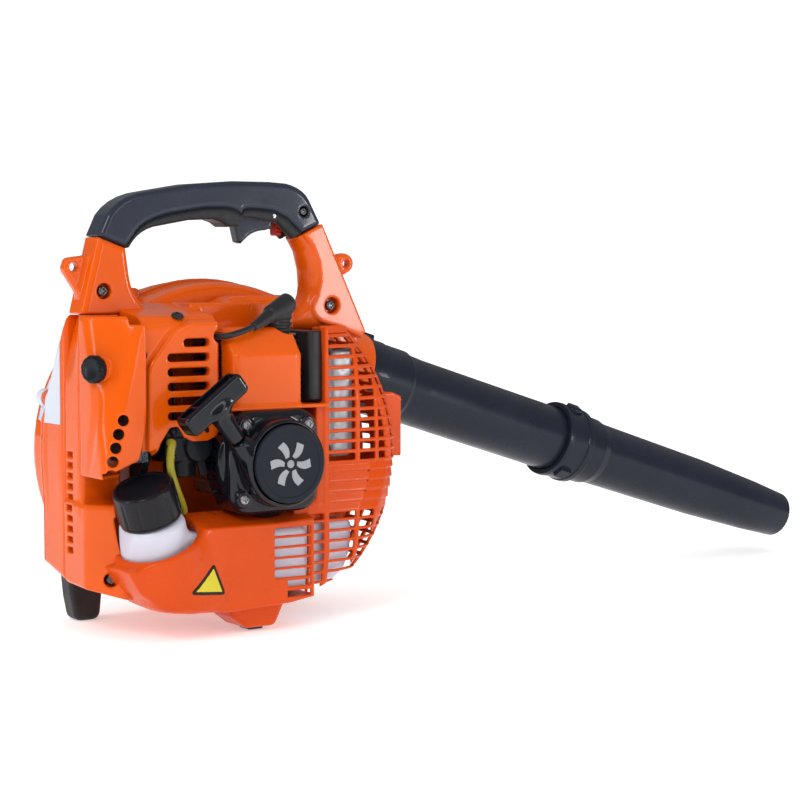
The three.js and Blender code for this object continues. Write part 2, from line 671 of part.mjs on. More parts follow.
part('starter_housing', starterHousing(), blackPlastic);
part('starter_disc', disc(31, crank, -115, -111.3, 40), softBlack);
part('starter_reel', turnedOnCrank([
  [5.4, -107], [24, -107], [24, -104.6], [18, -103.4], [18, -98.6], [24, -97.4], [24, -95], [5.4, -95], [5.4, -107],
], 24), blackPlastic);
part('recoil_spring', turnedOnCrank([[10, -94], [28, -94], [28, -88.5], [10, -88.5], [10, -94]], 18), steel);
part('starter_rope', bar(2, ropePoint(9), ropePoint(ropeExit + 9.6), 10), softBlack);
part('starter_handle', starterHandle(), blackPlastic);
[[-28, 167], [29, 166], [-30, 109]].forEach(([x, z], i) => {
  part(`starter_screw_${i + 1}`, disc(4, [x, z], -95, -92.3, 12), steel);
});

// ---------------------------------------------------------------- screws and feet

part('rear_arm_screw', disc(5, [-117, 272], -31, handleFront - seam, 16), steel);
part('front_arm_screw', disc(5, [93, 258], -31, handleFront - seam, 16), steel);
part('grip_screw', disc(4.5, [66, 336], -30.5, handleFront - seam, 16), steel);

const caseClearance = plate(voluteOutline(-seam), -10, caseWidth + 10);
part('rear_foot', plate([[-126, 76], [-120, 50], [-114, 20], [-106, 0], [-66, 0], [-62, 40], [-80, 100]], 44, 76)
  .subtract(caseClearance), softBlack);
part('front_foot', plate([[56, 0], [92, 0], [100, 10], [104, 60], [56, 60]], 44, 76).subtract(caseClearance), softBlack);
part('stand_pad', box([-16, footY - 16, 0], [16, footY + 16, 6]), softBlack);

export default blower;
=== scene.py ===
"""A hand-held petrol leaf blower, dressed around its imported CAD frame.

Shapes are worked out in millimetres in the machine's own axes: X the way the air leaves, Y from the fan
case's engine-side wall towards the air intake, Z up from the ground. Moulded shells are distance fields
turned into meshes; turned, cut-out and swept pieces are built ring by ring.
"""
import functools
import json
import math

import bpy
import numpy as np
import openvdb
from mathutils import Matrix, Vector


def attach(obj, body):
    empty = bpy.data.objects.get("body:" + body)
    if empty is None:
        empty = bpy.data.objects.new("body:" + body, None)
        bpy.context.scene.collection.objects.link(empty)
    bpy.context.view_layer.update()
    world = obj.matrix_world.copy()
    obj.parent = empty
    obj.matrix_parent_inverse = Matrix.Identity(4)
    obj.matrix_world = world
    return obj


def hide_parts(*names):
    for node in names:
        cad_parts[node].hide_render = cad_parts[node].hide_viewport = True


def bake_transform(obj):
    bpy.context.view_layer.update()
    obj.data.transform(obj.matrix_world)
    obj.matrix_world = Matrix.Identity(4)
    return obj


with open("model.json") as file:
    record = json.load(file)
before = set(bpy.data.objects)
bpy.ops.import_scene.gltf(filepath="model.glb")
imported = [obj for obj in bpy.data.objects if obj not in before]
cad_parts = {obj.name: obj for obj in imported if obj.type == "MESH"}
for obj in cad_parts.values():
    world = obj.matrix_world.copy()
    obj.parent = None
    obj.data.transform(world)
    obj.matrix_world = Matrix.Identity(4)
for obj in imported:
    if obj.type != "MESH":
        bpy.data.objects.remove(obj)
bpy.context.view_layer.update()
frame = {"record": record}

# ---- driving dimensions, millimetres

SIDE_SHIFT = 60.0                    # the frame's Y is this much more than the machine's own Y

record = frame["record"]
joints = {joint["name"]: joint for joint in record["behaviour"]["joints"]}
body_of = {node: body for body, nodes in record["behaviour"]["bodies"].items() for node in nodes}
slot_of = {part["node"]: part["material_slot"] for part in record["subparts"]}


def place_of(joint):
    x, y, z = joints[joint]["pos_m"]
    return Vector((x * 1000, y * 1000 - SIDE_SHIFT, z * 1000))


def axis_of(joint):
    return Vector(joints[joint]["axis"]).normalized()


CRANK = place_of("crank_spin")
TUBE_START = place_of("tube_twist")
TUBE_ALONG = axis_of("tube_twist")
PULL = axis_of("starter_pull")
NECK_TOP = place_of("cap_turn")
NECK_ALONG = axis_of("cap_turn")
KNOB_BASE = place_of("knob_turn")
KNOB_OUT = axis_of("knob_turn")

WALL = 3.0
CASE_WIDTH = 78.0
CASE_SEAM = 39.0
VOLUTE_START = 124.0                 # fan case radius at its tongue
VOLUTE_END = 142.0                   # fan case radius where the duct leaves it
TUBE_OFFSET = 104.0                  # blower tube axis to crank axis
TUBE_DROP = math.atan2(-TUBE_ALONG.z, TUBE_ALONG.x)
VOLUTE_SWEEP = math.radians(270) + TUBE_DROP
DUCT_HALF = 37.0                     # half the duct's height
DUCT_FLOOR_START = 88.0              # this and the places down to NOZZLE_START are distances along the tube
DUCT_END = 107.0
SOCKET_END = 131.0
SHOULDER_END = 175.0
TUBE_END = 391.0
NOZZLE_START = 359.0
NOZZLE_LENGTH = 309.0
NOZZLE_OVERLAP = TUBE_END + 2 - NOZZLE_START
HANDLE_FRONT = -28.0
HANDLE_BACK = -0.4
COVER_TOP = 254.0                    # parting line between the handle and the covers under it
GUARD_FRONT = -80.0
TANK_FRONT = -92.0
STARTER_FRONT = -92.0
GRILLE_LEVEL = 80.6                  # middle of the top slot that the lower grilles share
GRILLE_PITCH = 8.4
NECK_LENGTH = 52.0
REEL_RADIUS = 20.0                   # of the rope where it leaves the reel
ROPE_START = Vector((-PULL.z * REEL_RADIUS, -101.0, CRANK.z + PULL.x * REEL_RADIUS))
PULL_HANDLE_OUT = 75.0               # from the rope's start to the middle of its handle
VOXEL = 1.2   # the side of a sample cell
TURN_SIDES = 96


# ---- distance fields

class Space:
    """Sample points, as three arrays that broadcast together."""

    def __init__(self, x, y, z):
        self.x, self.y, self.z = x, y, z
        self.out = np.sqrt(x * x + (z - CRANK.z) ** 2)     # distance from the crank axis


def between(v, low, high):
    """Less than zero where a coordinate lies between two values."""
    return np.abs(v - (low + high) / 2) - (high - low) / 2


def overlap(*fields):
    """Less than zero where every one of the fields is."""
    return functools.reduce(np.maximum, fields)


def either(*fields):
    """Less than zero where any one of the fields is."""
    return functools.reduce(np.minimum, fields)


def box(s, low, high, edge=0.0):
    q = [np.abs(v - (a + b) / 2) - ((b - a) / 2 - edge) for v, a, b in zip((s.x, s.y, s.z), low, high)]
    outside = np.sqrt(sum(np.maximum(v, 0) ** 2 for v in q))
    return outside + np.minimum(overlap(*q), 0) - edge


def rounded_pair(a, b, edge):
    """Where both distances are inside, with the edge between them rounded."""
    a, b = a + edge, b + edge
    outside = np.sqrt(np.maximum(a, 0) ** 2 + np.maximum(b, 0) ** 2)
    return outside + np.minimum(np.maximum(a, b), 0) - edge


def rod(s, start, end, radius, end_radius=None, edge=0.0):
    """A round bar, or a cone when the radii differ."""
    start, end = Vector(start), Vector(end)
    length = (end - start).length
    along = (end - start) / length
    dx, dy, dz = s.x - start.x, s.y - start.y, s.z - start.z
    t = dx * along.x + dy * along.y + dz * along.z
    out = np.sqrt(np.maximum(dx * dx + dy * dy + dz * dz - t * t, 0))
    far = radius if end_radius is None else end_radius
    here = radius + (far - radius) * np.clip(t / length, 0, 1)
    return rounded_pair(out - here, np.abs(t - length / 2) - length / 2, edge)


def pin(s, x, z, radius, low_y, high_y, edge=0.0):
    """A round bar along Y."""
    out = np.sqrt((s.x - x) ** 2 + (s.z - z) ** 2)
    return rounded_pair(out - radius, between(s.y, low_y, high_y), edge)


def hub(s, radius, low_y, high_y, edge=0.0):
    """A round bar on the crank axis."""
    return pin(s, CRANK.x, CRANK.z, radius, low_y, high_y, edge)


def polygon(u, v, points):
    """Distance to a closed outline in two coordinates, less than zero inside."""
    best = np.float32(1e12)
    inside = False
    for (ax, ay), (bx, by) in zip(points, points[1:] + points[:1]):
        ex, ey = bx - ax, by - ay
        wx, wy = u - ax, v - ay
        t = np.clip((wx * ex + wy * ey) / max(ex * ex + ey * ey, 1e-9), 0, 1)
        best = np.minimum(best, (wx - ex * t) ** 2 + (wy - ey * t) ** 2)
        crosses = ((ay <= v) != (by <= v)) & ((ex * wy - ey * wx > 0) == (by > ay))
        inside = inside ^ crosses
    return np.where(inside, -1, 1).astype(np.float32) * np.sqrt(best)


def plate(s, points, low_y, high_y, edge=0.0, grow=0.0):
    """An outline in X and Z with thickness along Y."""
    flat = polygon(s.x, s.z, points) - grow
    return rounded_pair(flat, between(s.y, low_y, high_y), edge)


def slab(s, points, low_x, high_x, edge=0.0):
    """An outline in Y and Z with thickness along X."""
    flat = polygon(s.y, s.z, points)
    return rounded_pair(flat, between(s.x, low_x, high_x), edge)


def slot(s, low_x, high_x, z, height, low_y, high_y):
    """A slot along X with round ends, through a stretch of Y."""
    half = height / 2
    along = np.maximum(between(s.x, low_x, high_x) + half, 0)
    flat = np.sqrt(along ** 2 + (s.z - z) ** 2) - half
    return np.maximum(flat, between(s.y, low_y, high_y))


def join(a, b, blend=0.0):
    """Both shapes as one, with the seam between them softened over a blend."""
    if blend <= 0:
        return np.minimum(a, b)
    h = np.maximum(blend - np.abs(a - b), 0) / blend
    return np.minimum(a, b) - h * h * blend / 4


def cut(a, b, blend=0.0):
    return -join(-a, b, blend)


def meet(a, b, blend=0.0):
    return -join(-a, -b, blend)


def trim(s, body, point, normal, blend):
    """Cuts off what lies beyond the plane through a point."""
    n = Vector(normal).normalized()
    return meet(body, (s.x - point[0]) * n.x + (s.y - point[1]) * n.y + (s.z - point[2]) * n.z, blend)


def curve(start, control, end, steps=8):
    """Points along a quadratic curve."""
    a, b, c = Vector(start), Vector(control), Vector(end)
    shares = [i / steps for i in range(steps + 1)]
    return [tuple(a * (1 - t) ** 2 + b * 2 * t * (1 - t) + c * t * t) for t in shares]


def rounded(points, radius=0.0, steps=6):
    """The outline with its corners turned into curves. A corner's third number is its own rough radius."""
    result = []
    for i, (x, y, *own) in enumerate(points):
        size = own[0] if own else radius
        corner = Vector((x, y))
        if size <= 0:
            result.append((x, y))
            continue
        before = Vector(points[i - 1][:2]) - corner
        after = Vector(points[(i + 1) % len(points)][:2]) - corner
        reach = min(size / math.tan(before.angle(after) / 2), before.length * 0.49, after.length * 0.49)
        start = corner + before.normalized() * reach
        end = corner + after.normalized() * reach
        result += curve(start, corner, end, steps)
    return result


# ---- meshes

def to_metres(points):
    points = np.array(points, dtype=np.float64).reshape(-1, 3)
    return (points + (0, SIDE_SHIFT, 0)) / 1000


def placed(name, data):
    obj = bpy.data.objects.new(name, data)
    bpy.context.scene.collection.objects.link(obj)
    return obj


def new_piece(name, points, faces, smooth=True):
    """A mesh object from points in millimetres and faces of any number of corners."""
    mesh = bpy.data.meshes.new(name)
    mesh.from_pydata(to_metres(points).tolist(), [], [list(face) for face in faces])
    mesh.validate()
    mesh.polygons.foreach_set("use_smooth", [smooth] * len(mesh.polygons))
    return placed(name, mesh)


def settle(points, field, reach):
    """Moves points onto the surface along the field's slope."""
    step = 0.1
    value = field(Space(*points))
    slope = []
    for axis in np.eye(3):
        ahead = field(Space(*(points + step * axis[:, None])))
        behind = field(Space(*(points - step * axis[:, None])))
        slope.append((ahead - behind) / (2 * step))
    slope = np.array(slope)
    size = np.maximum((slope ** 2).sum(axis=0), 0.3)
    return points - np.clip(value, -reach, reach) / size * slope


def moulded(name, low, high, field, voxel=VOXEL):
    """The surface where a distance field is zero, as a smooth-shaded mesh."""
    low = [value - 4 * voxel for value in low]
    counts = [int(math.ceil((b + 4 * voxel - a) / voxel)) + 1 for a, b in zip(low, high)]
    x, y, z = [a + voxel * np.arange(n, dtype=np.float32) for a, n in zip(low, counts)]
    space = Space(x[:, None, None], y[None, :, None], z[None, None, :])
    values = np.clip(field(space), -3 * voxel, 3 * voxel)
    grid = openvdb.FloatGrid(3 * voxel)
    grid.copyFromArray(np.ascontiguousarray(values, dtype=np.float32))
    points, _triangles, quads = grid.convertToPolygons(isovalue=0.0, adaptivity=0.0)
    points = settle((points * voxel + np.array(low)).T, field, voxel)
    mesh = bpy.data.meshes.new(name)
    mesh.vertices.add(points.shape[1])
    mesh.vertices.foreach_set("co", to_metres(points.T).astype(np.float32).ravel())
    quads = quads[:, ::-1]
    mesh.loops.add(quads.size)
    mesh.loops.foreach_set("vertex_index", quads.astype(np.int32).ravel())
    mesh.polygons.add(len(quads))
    mesh.polygons.foreach_set("loop_start", np.arange(0, quads.size, 4, dtype=np.int32))
    mesh.update(calc_edges=True)
    mesh.validate()
    mesh.polygons.foreach_set("use_smooth", [True] * len(mesh.polygons))
    return placed(name, mesh)


def frame_along(direction):
    """Two directions square to this one and to each other."""
    w = Vector(direction).normalized()
    side = Vector((0, 1, 0)) if abs(w.y) < 0.9 else Vector((1, 0, 0))
    u = side.cross(w).normalized()
    return u, w.cross(u), w


def ring(middle, u, v, radius, sides, notch=0.0, notches=12):
    """Points round a middle, or just the middle. Notches make the ring fluted."""
    if radius <= 1e-6:
        return [middle]
    points = []
    for a in (2 * math.pi * k / sides for k in range(sides)):
        out = radius - notch * max(0.0, math.cos(notches * a)) ** 2
        points.append(middle + (u * math.cos(a) + v * math.sin(a)) * out)
    return points


def skinned(name, rings, loop=False, caps=False, smooth=True):
    """A surface over a row of rings. A loop joins the last to the first; a ring of one point is a tip."""
    sides = max(len(points) for points in rings)
    every, numbers = [], []
    for points in rings:
        numbers.append([len(every) + k % len(points) for k in range(sides)])
        every += points
    faces = [numbers[0], numbers[-1][::-1]] if caps else []
    for first, second in zip(numbers, numbers[1:] + (numbers[:1] if loop else [])):
        for k in range(sides):
            n = (k + 1) % sides
            face = list(dict.fromkeys([first[k], second[k], second[n], first[n]]))
            if len(face) > 2:
                faces.append(face)
    return new_piece(name, every, faces, smooth)


def turned(name, origin, direction, profile, sides=TURN_SIDES):
    """A closed profile of (distance along, radius) turned about a line."""
    u, v, w = frame_along(direction)
    rings = [ring(Vector(origin) + w * along, u, v, radius, sides) for along, radius in profile]
    return skinned(name, rings, loop=len(rings[0]) > 1)


def swept(name, path, radius, sides=20, steps=8):
    """A round cord along a smooth curve through the points, with closed ends."""
    given = [Vector(p) for p in path]
    padded = [given[0] * 2 - given[1], *given, given[-1] * 2 - given[-2]]
    line = []
    for p0, p1, p2, p3 in zip(padded, padded[1:], padded[2:], padded[3:]):
        for t in (k / steps for k in range(steps)):
            slope = (p2 - p0) * t
            bend = (p0 * 2 - p1 * 5 + p2 * 4 - p3) * t * t
            twist = (p1 * 3 - p0 - p2 * 3 + p3) * t ** 3
            line.append(p1 + (slope + bend + twist) / 2)
    line.append(given[-1])
    rings = []
    u = frame_along(line[1] - line[0])[0]
    for middle, before, after in zip(line, line[:1] + line, line[1:] + line[-1:]):
        along = (after - before).normalized()
        u = (u - along * u.dot(along)).normalized()
        rings.append(ring(middle, u, along.cross(u), radius, sides))
    return skinned(name, rings[::-1], caps=True)


# ---- fan case and intake guard

def duct(along, out):
    """A point of the duct in X and Z, along the tube and out from the crank axis."""
    c, n = math.cos(TUBE_DROP), math.sin(TUBE_DROP)
    return c * along + n * out, CRANK.z - n * along + c * out


def on_tube(along):
    return TUBE_START + TUBE_ALONG * along


def on_volute(turn, extra=0.0):
    """A point on the fan case's rim in X and Z, a turn after its tongue."""
    radius = VOLUTE_START + (VOLUTE_END - VOLUTE_START) * turn / VOLUTE_SWEEP + extra
    return radius * math.cos(turn), CRANK.z - radius * math.sin(turn)


def volute():
    steps = 60
    points = [on_volute(VOLUTE_SWEEP * i / steps) for i in range(steps + 1)]
    for along, out in ((DUCT_END, DUCT_HALF), (DUCT_END, -DUCT_HALF), (DUCT_FLOOR_START, -DUCT_HALF)):
        points.append(duct(along, TUBE_OFFSET + out))
    return points


def fan_case(s):
    flat = polygon(s.x, s.z, volute())
    off_seam = np.abs(s.y - CASE_SEAM)
    body = rounded_pair(flat, off_seam - CASE_WIDTH / 2, 13)
    body = join(body, rounded_pair(flat - 2.6, off_seam - 4, 1.4), 2)
    body = join(body, rod(s, on_tube(80), on_tube(SOCKET_END), 38, 35.5, 2), 8)
    shoulder = slab(s, [(-0.4, 40), (45, 52), (45, 168), (-0.4, 254)], -139.5, -100, 6)
    body = join(body, shoulder, 10)
    body = join(body, hub(s, 93, 70, CASE_WIDTH + 0.2, 1.5), 3)
    air = rounded_pair(flat + WALL, off_seam - CASE_WIDTH / 2 + WALL, 10)
    air = join(air, rod(s, on_tube(85), on_tube(SOCKET_END + 5), 30.5), 4)
    air = join(air, hub(s, 60, 66, CASE_WIDTH + 5), 2)
    air = join(air, hub(s, 14, -5, 6))
    body = cut(body, air)
    for turn in (35, 75, 150, 200, 245):
        x, z = on_volute(math.radians(turn), 4)
        body = join(body, pin(s, x, z, 6.5, CASE_SEAM - 7, CASE_SEAM + 15, 1.5), 3)
        body = cut(body, pin(s, x, z, 3.6, CASE_SEAM + 10, CASE_SEAM + 20))
    return body


def fan_case_inner(s):
    return np.maximum(fan_case(s), s.y - CASE_SEAM + 0.35)


def fan_case_outer(s):
    return np.maximum(fan_case(s), CASE_SEAM + 0.35 - s.y)


def intake_guard(s):
    """A shallow dome of rings and spokes."""
    top = CASE_WIDTH + 19 - 6 * (s.out / 88) ** 2
    height = np.maximum(s.y - top, CASE_WIDTH + 0.3 - s.y)
    shell = rounded_pair(s.out - 88, height, 3)
    shell = cut(shell, np.maximum(s.out - 84.5, s.y - top + 3.2))
    ring_gaps = np.abs((s.out - 14) % 8.2 - 4.1) - 2.7
    turn = np.arctan2(s.z - CRANK.z, s.x)
    spoke = np.abs((turn * 8 / math.pi + 0.5) % 1 - 0.5) * math.pi / 8 * s.out - 2
    gaps = overlap(ring_gaps, 14 - s.out, s.out - 79.5, 0.8 - spoke, top - 6 - s.y)
    return cut(shell, gaps, 0.8)


# ---- handle

REAR_SCREW = (-117, 272)
FRONT_SCREW = (93, 258)
GRIP_SCREW = (66, 336)


def screw_well(s, place, radius=6.2, floor=-20.0):
    return pin(s, place[0], place[1], radius, HANDLE_FRONT - 6, floor)


def rear_handle_arm(s):
    outline = rounded([(-121, 315), (-139, 244), (-52, 244), (-91, 263, 46), (-97, 306.4)])
    arm = plate(s, outline, HANDLE_FRONT, HANDLE_BACK, 5)
    ear = rounded([(-147, 289, 6), (-144, 298, 5), (-120, 301), (-120, 262), (-133, 268, 8)])
    arm = join(arm, plate(s, ear, -18, -9, 2), 5)
    arm = cut(arm, pin(s, -138, 291, 3.6, -30, 5), 1)
    arm = cut(arm, screw_well(s, REAR_SCREW), 1.2)
    arm = meet(arm, COVER_TOP + 0.4 - s.z, 0.8)
    arm = join(arm, box(s, (-130, -24, 253.8), (-108, -5, 262), 0.5))
    return trim(s, arm, (-121, 0, 314.6), (0.35, 0, 0.94), 0.8)


def front_handle_arm(s):
    face = [(84, 326), (127, 236), (123, 230), (100, 240), *curve((82, 244), (67, 254), (78, 266), 4),
            (81.5, 280), (80, 294), (74, 307), (64, 318)]
    arm = plate(s, face, HANDLE_FRONT, HANDLE_BACK, 1.6)
    flank = [(82.5, 326), (122, 238), (46, 238), (46, 250), *curve((56, 254), (71, 258), (71, 274), 5),
             (70, 288), (66, 303), (57, 318)]
    arm = join(arm, plate(s, flank, HANDLE_FRONT + 1.2, HANDLE_BACK, 11), 1.5)
    lug = join(pin(s, 113, 293, 8, -18, -9, 2), box(s, (98, -18, 284), (112, -9, 300), 2), 5)
    arm = cut(join(arm, lug, 5), pin(s, 113, 293, 3.6, -30, 5), 1)
    arm = cut(arm, screw_well(s, FRONT_SCREW, 6.8), 1.2)
    return trim(s, arm, (82, 0, 325.6), (-0.46, 0, 0.89), 0.8)


BAND_TOP = [(-97, 306), *curve((-89, 317), (-79, 330), (-50, 334), 5), (-27, 337.5),
            *curve((-8, 338), (3, 337), (7, 332.5), 3), *curve((10, 337), (16, 338), (36, 336), 3),
            (50, 330), (64, 318)]
BAND_LOW = [(56, 314), (48, 321), (42, 327), (14, 331), (8, 331), (5, 323.5), (-5, 323.5), (-10, 327),
            (-18, 329.5), (-41, 328.5), *curve((-72, 323), (-87, 319), (-94, 306.5), 5)]


def trigger_pocket(s):
    return join(box(s, (-1, -21, 290), (46, -7, 350), 1), box(s, (40, -21, 290), (60, -7, 344), 1))


def handle_grip(s):
    top = [(-121, 315), *curve((-113, 332), (-101, 348), (-76, 351), 5), (-40, 357), (0, 360), (34, 360),
           *curve((50, 359), (66, 356), (72, 346), 5), (83, 326)]
    body = plate(s, top + BAND_TOP[::-1], HANDLE_FRONT, HANDLE_BACK, 4)
    body = cut(body, screw_well(s, GRIP_SCREW, 4.4), 0.8)
    body = cut(body, trigger_pocket(s))
    body = trim(s, body, (-121, 0, 315.2), (-0.35, 0, -0.94), 0.6)
    return trim(s, body, (82, 0, 326.2), (0.46, 0, -0.89), 0.6)


def grip_insert(s):
    band = plate(s, BAND_TOP + BAND_LOW, HANDLE_FRONT + 1, HANDLE_BACK - 1, 3.4, 0.6)
    return cut(band, trigger_pocket(s))


def throttle_trigger(s):
    outline = [(2, 337), (4.5, 325), (8, 311), (11, 309.5), *curve((15, 313), (22, 320), (34, 320.5), 5),
               (40, 322), (42, 336)]
    return plate(s, outline, -20, -8, 2.4)


def stop_switch(s):
    body = box(s, (43.5, -19, 316), (50, -9, 331), 1.6)
    grooves = overlap(np.abs((s.z - 318) % 3.2 - 1.6) - 0.7, 44.7 - s.x, s.y + 18.2)
    return cut(body, grooves, 0.4)


# ---- shroud over the engine

BULGE_LEFT = -33.0
BULGE_RIGHT = 31.0
OPENING_RIGHT = 53.0
LIP_HEIGHT = 181.0


def cover_seam(s):
    """Where the air cleaner cover meets the shroud: X for each height."""
    return -104.2 - 10 * np.clip((185 - s.z) / 51, 0, 1.15) ** 2


def shroud_panel(s):
    """The slotted panel beside the cover, with a raised pad round its slots."""
    deck = rounded([(-66, 120), (-66, 246, 8), (-59, 253, 6), (-2, 262, 2), (-2, 120)])
    skin = slab(s, deck, -125, -37, 2)
    pad = rounded([(-101, 110), (-101, 214, 20), (-78, 243, 22), (-62, 248.5, 10), (-38, 248.5, 3),
                   (-38, 110)])
    skin = join(skin, plate(s, pad, -70.5, -60, 3.2), 3)
    under = [(-130, 100), (-130, 131), (-98, 136), (-94.5, 145), (-90, 155), (-82, 166), (-75, 167),
             (-70, 158.5), (-63, 154.5), (-49, 154.5), (-39, 159), (-34, 168), (-30, 168), (-30, 100)]
    skin = cut(skin, plate(s, rounded(under, 3), -90, 20), 1.2)
    return meet(skin, cover_seam(s) + 0.5 - s.x, 1)


def engine_shroud(s):
    deck = box(s, (-45, -34, 200), (52, -2, 262), 2)
    ledge = box(s, (-45, -66, 178), (BULGE_RIGHT, -22, 239), 3)
    rim = plate(s, rounded([(-12, 235), (-12, 267, 17), (54, 267, 3), (54, 235)]), -30, -3, 3)
    outside = join(shroud_panel(s), join(deck, join(ledge, rim, 3), 4), 3)
    face = rounded([(-50, 179), (-84.5, 179), (-84.5, 222, 5), (-68, 243, 8), (-50, 243)])
    bulge = slab(s, face, BULGE_LEFT, BULGE_RIGHT, 7)
    bulge = trim(s, bulge, (BULGE_LEFT, -84.5, 229), (-0.5, -0.5, 0.6), 6)
    bulge = meet(bulge, s.x - BULGE_RIGHT + 0.5, 1.5)
    outside = join(outside, bulge, 3)
    lip = box(s, (-36, -86, LIP_HEIGHT - 3), (OPENING_RIGHT + 2, -60, LIP_HEIGHT), 1)
    outside = join(outside, lip, 3)
    outside = cut(outside, box(s, (-37.5, -80, 178), (-33.5, -63, 240), 1.5), 2)
    inside = box(s, (-140, -63.5, 90), (BULGE_RIGHT + 30, -5, 236), 3)
    inside = join(inside, box(s, (BULGE_LEFT + 3, -81.5, 90), (BULGE_RIGHT + 30, -60, 213), 4))
    inside = join(inside, box(s, (BULGE_LEFT + 3, -70, 90), (BULGE_RIGHT + 30, -60, 228), 4), 6)
    inside = cut(inside, box(s, (-40, -95, LIP_HEIGHT - 2.5), (OPENING_RIGHT + 5, -60, LIP_HEIGHT)))
    shell = cut(outside, inside)
    for row, low_x in enumerate([-70] + [-84] * 5):
        shell = cut(shell, slot(s, low_x, -47, 232 - 11.4 * row, 6.5, -90, -55), 0.8)
    shell = cut(shell, box(s, (BULGE_RIGHT, -95, LIP_HEIGHT), (OPENING_RIGHT + 4, -20, 240), 2))
    shell = cut(shell, pin(s, 26, 252, 15, -90, -34, 1), 2)
    shell = cut(shell, cap_room(s), 1)
    return cut(shell, pin(s, -38, 236.5, 5, -80, -55), 1)


def heat_shield(s):
    """The dark curved sheet beside the fins, seen in the shroud's opening. It is painted shade: a dull
    black sheet that stands for no frame part and darkens the inside of the engine bay.
    """
    outline = rounded([(-76, 40.5, 12), (-76, 55, 3), (-12, 55), (-12, 40.5)])
    flat = polygon(s.y, s.x, outline)
    return rounded_pair(flat, between(s.z, 183, 239), 1)


# ---- guards over the muffler and the tank

GUARD_PROFILE = [(0, GUARD_FRONT), (97, GUARD_FRONT, 14), (117, -76, 14), (130, -66, 14), (137, -52, 14),
                 (139, -25, 14), (139, -0.4), (0, -0.4)]
NECK_BASE = NECK_TOP - NECK_ALONG * NECK_LENGTH


def on_neck(along):
    return NECK_BASE + NECK_ALONG * along


def cap_room(s):
    return rod(s, on_neck(44), on_neck(92), 27)


def rows(s, centre, pitch, height):
    """Less than zero inside level slots that repeat upwards."""
    return np.abs((s.z - centre + pitch / 2) % pitch - pitch / 2) - height / 2


def muffler_guard(s):
    """A dome about the crank axis, cut to its outline and pierced by level slots between upright bars."""
    outside = polygon(s.out, s.y, rounded(GUARD_PROFILE, steps=3))
    region = join(box(s, (OPENING_RIGHT, -90, 90), (150, -0.4, 243), 1),
                  plate(s, [(37, 98), (37, 26), (48, 29), (150, 60), (150, 98)], -90, -0.4, 1))
    shell = cut(meet(outside, region, 1.5), outside + 2.8)
    frame_wall = box(s, (OPENING_RIGHT - 8, GUARD_FRONT + 0.5, 96), (OPENING_RIGHT + 1.5, -58, LIP_HEIGHT),
                     1.5)
    corner = rounded([(24, 100, 2), (44, 100, 14), (46, 118, 2), (55, 118), (55, 86), (24, 86)])
    frame_wall = join(frame_wall, plate(s, corner, GUARD_FRONT + 0.5, -58, 1.5), 3)
    stile = box(s, (OPENING_RIGHT, GUARD_FRONT - 1.2, LIP_HEIGHT - 2), (OPENING_RIGHT + 3.5, -60, 242), 1.2)
    shell = join(shell, join(frame_wall, stile), 2)
    upper = overlap(between(s.z, 133, 237), rows(s, 136, 8.6, 5.6), 57.5 - s.x)
    lower = overlap(between(s.z, 24, 91), rows(s, GRILLE_LEVEL, GRILLE_PITCH, 6), 39 - s.x)
    shell = cut(shell, overlap(either(upper, lower), upright_gaps(s), np.abs(outside + 1) - 5), 1)
    step = (s.z - 91) % 8.3 / 8.3
    ribs = overlap(between(s.z, 91.5, 131), 57.5 - s.x, -1.7 * step - outside - 0.1)
    shell = cut(shell, ribs, 0.6)
    tab = rounded([(128, 184), (146, 184, 1), (156, 180, 4), (161, 146, 3), (160, 129, 3), (128, 131)])
    return join(shell, cut(plate(s, tab, -40, -20, 1.5), outside + 2.8), 1.5)


def upright_gaps(s):
    """Less than zero between the upright bars: straight bars in front, rings round the curved side."""
    front = either(between(s.x, 39, 52), between(s.x, 57.5, 83), between(s.x, 87.5, 103))
    bands = (-70.5, -61), (-57, -42), (-38, -24), (-20, -5)
    rings = either(*(between(s.y, low, high) for low, high in bands))
    corner = overlap(107 - s.x, s.y + 74, s.out - 128)
    return either(np.maximum(front, s.y + 70), np.maximum(rings, 100 - s.out), corner)


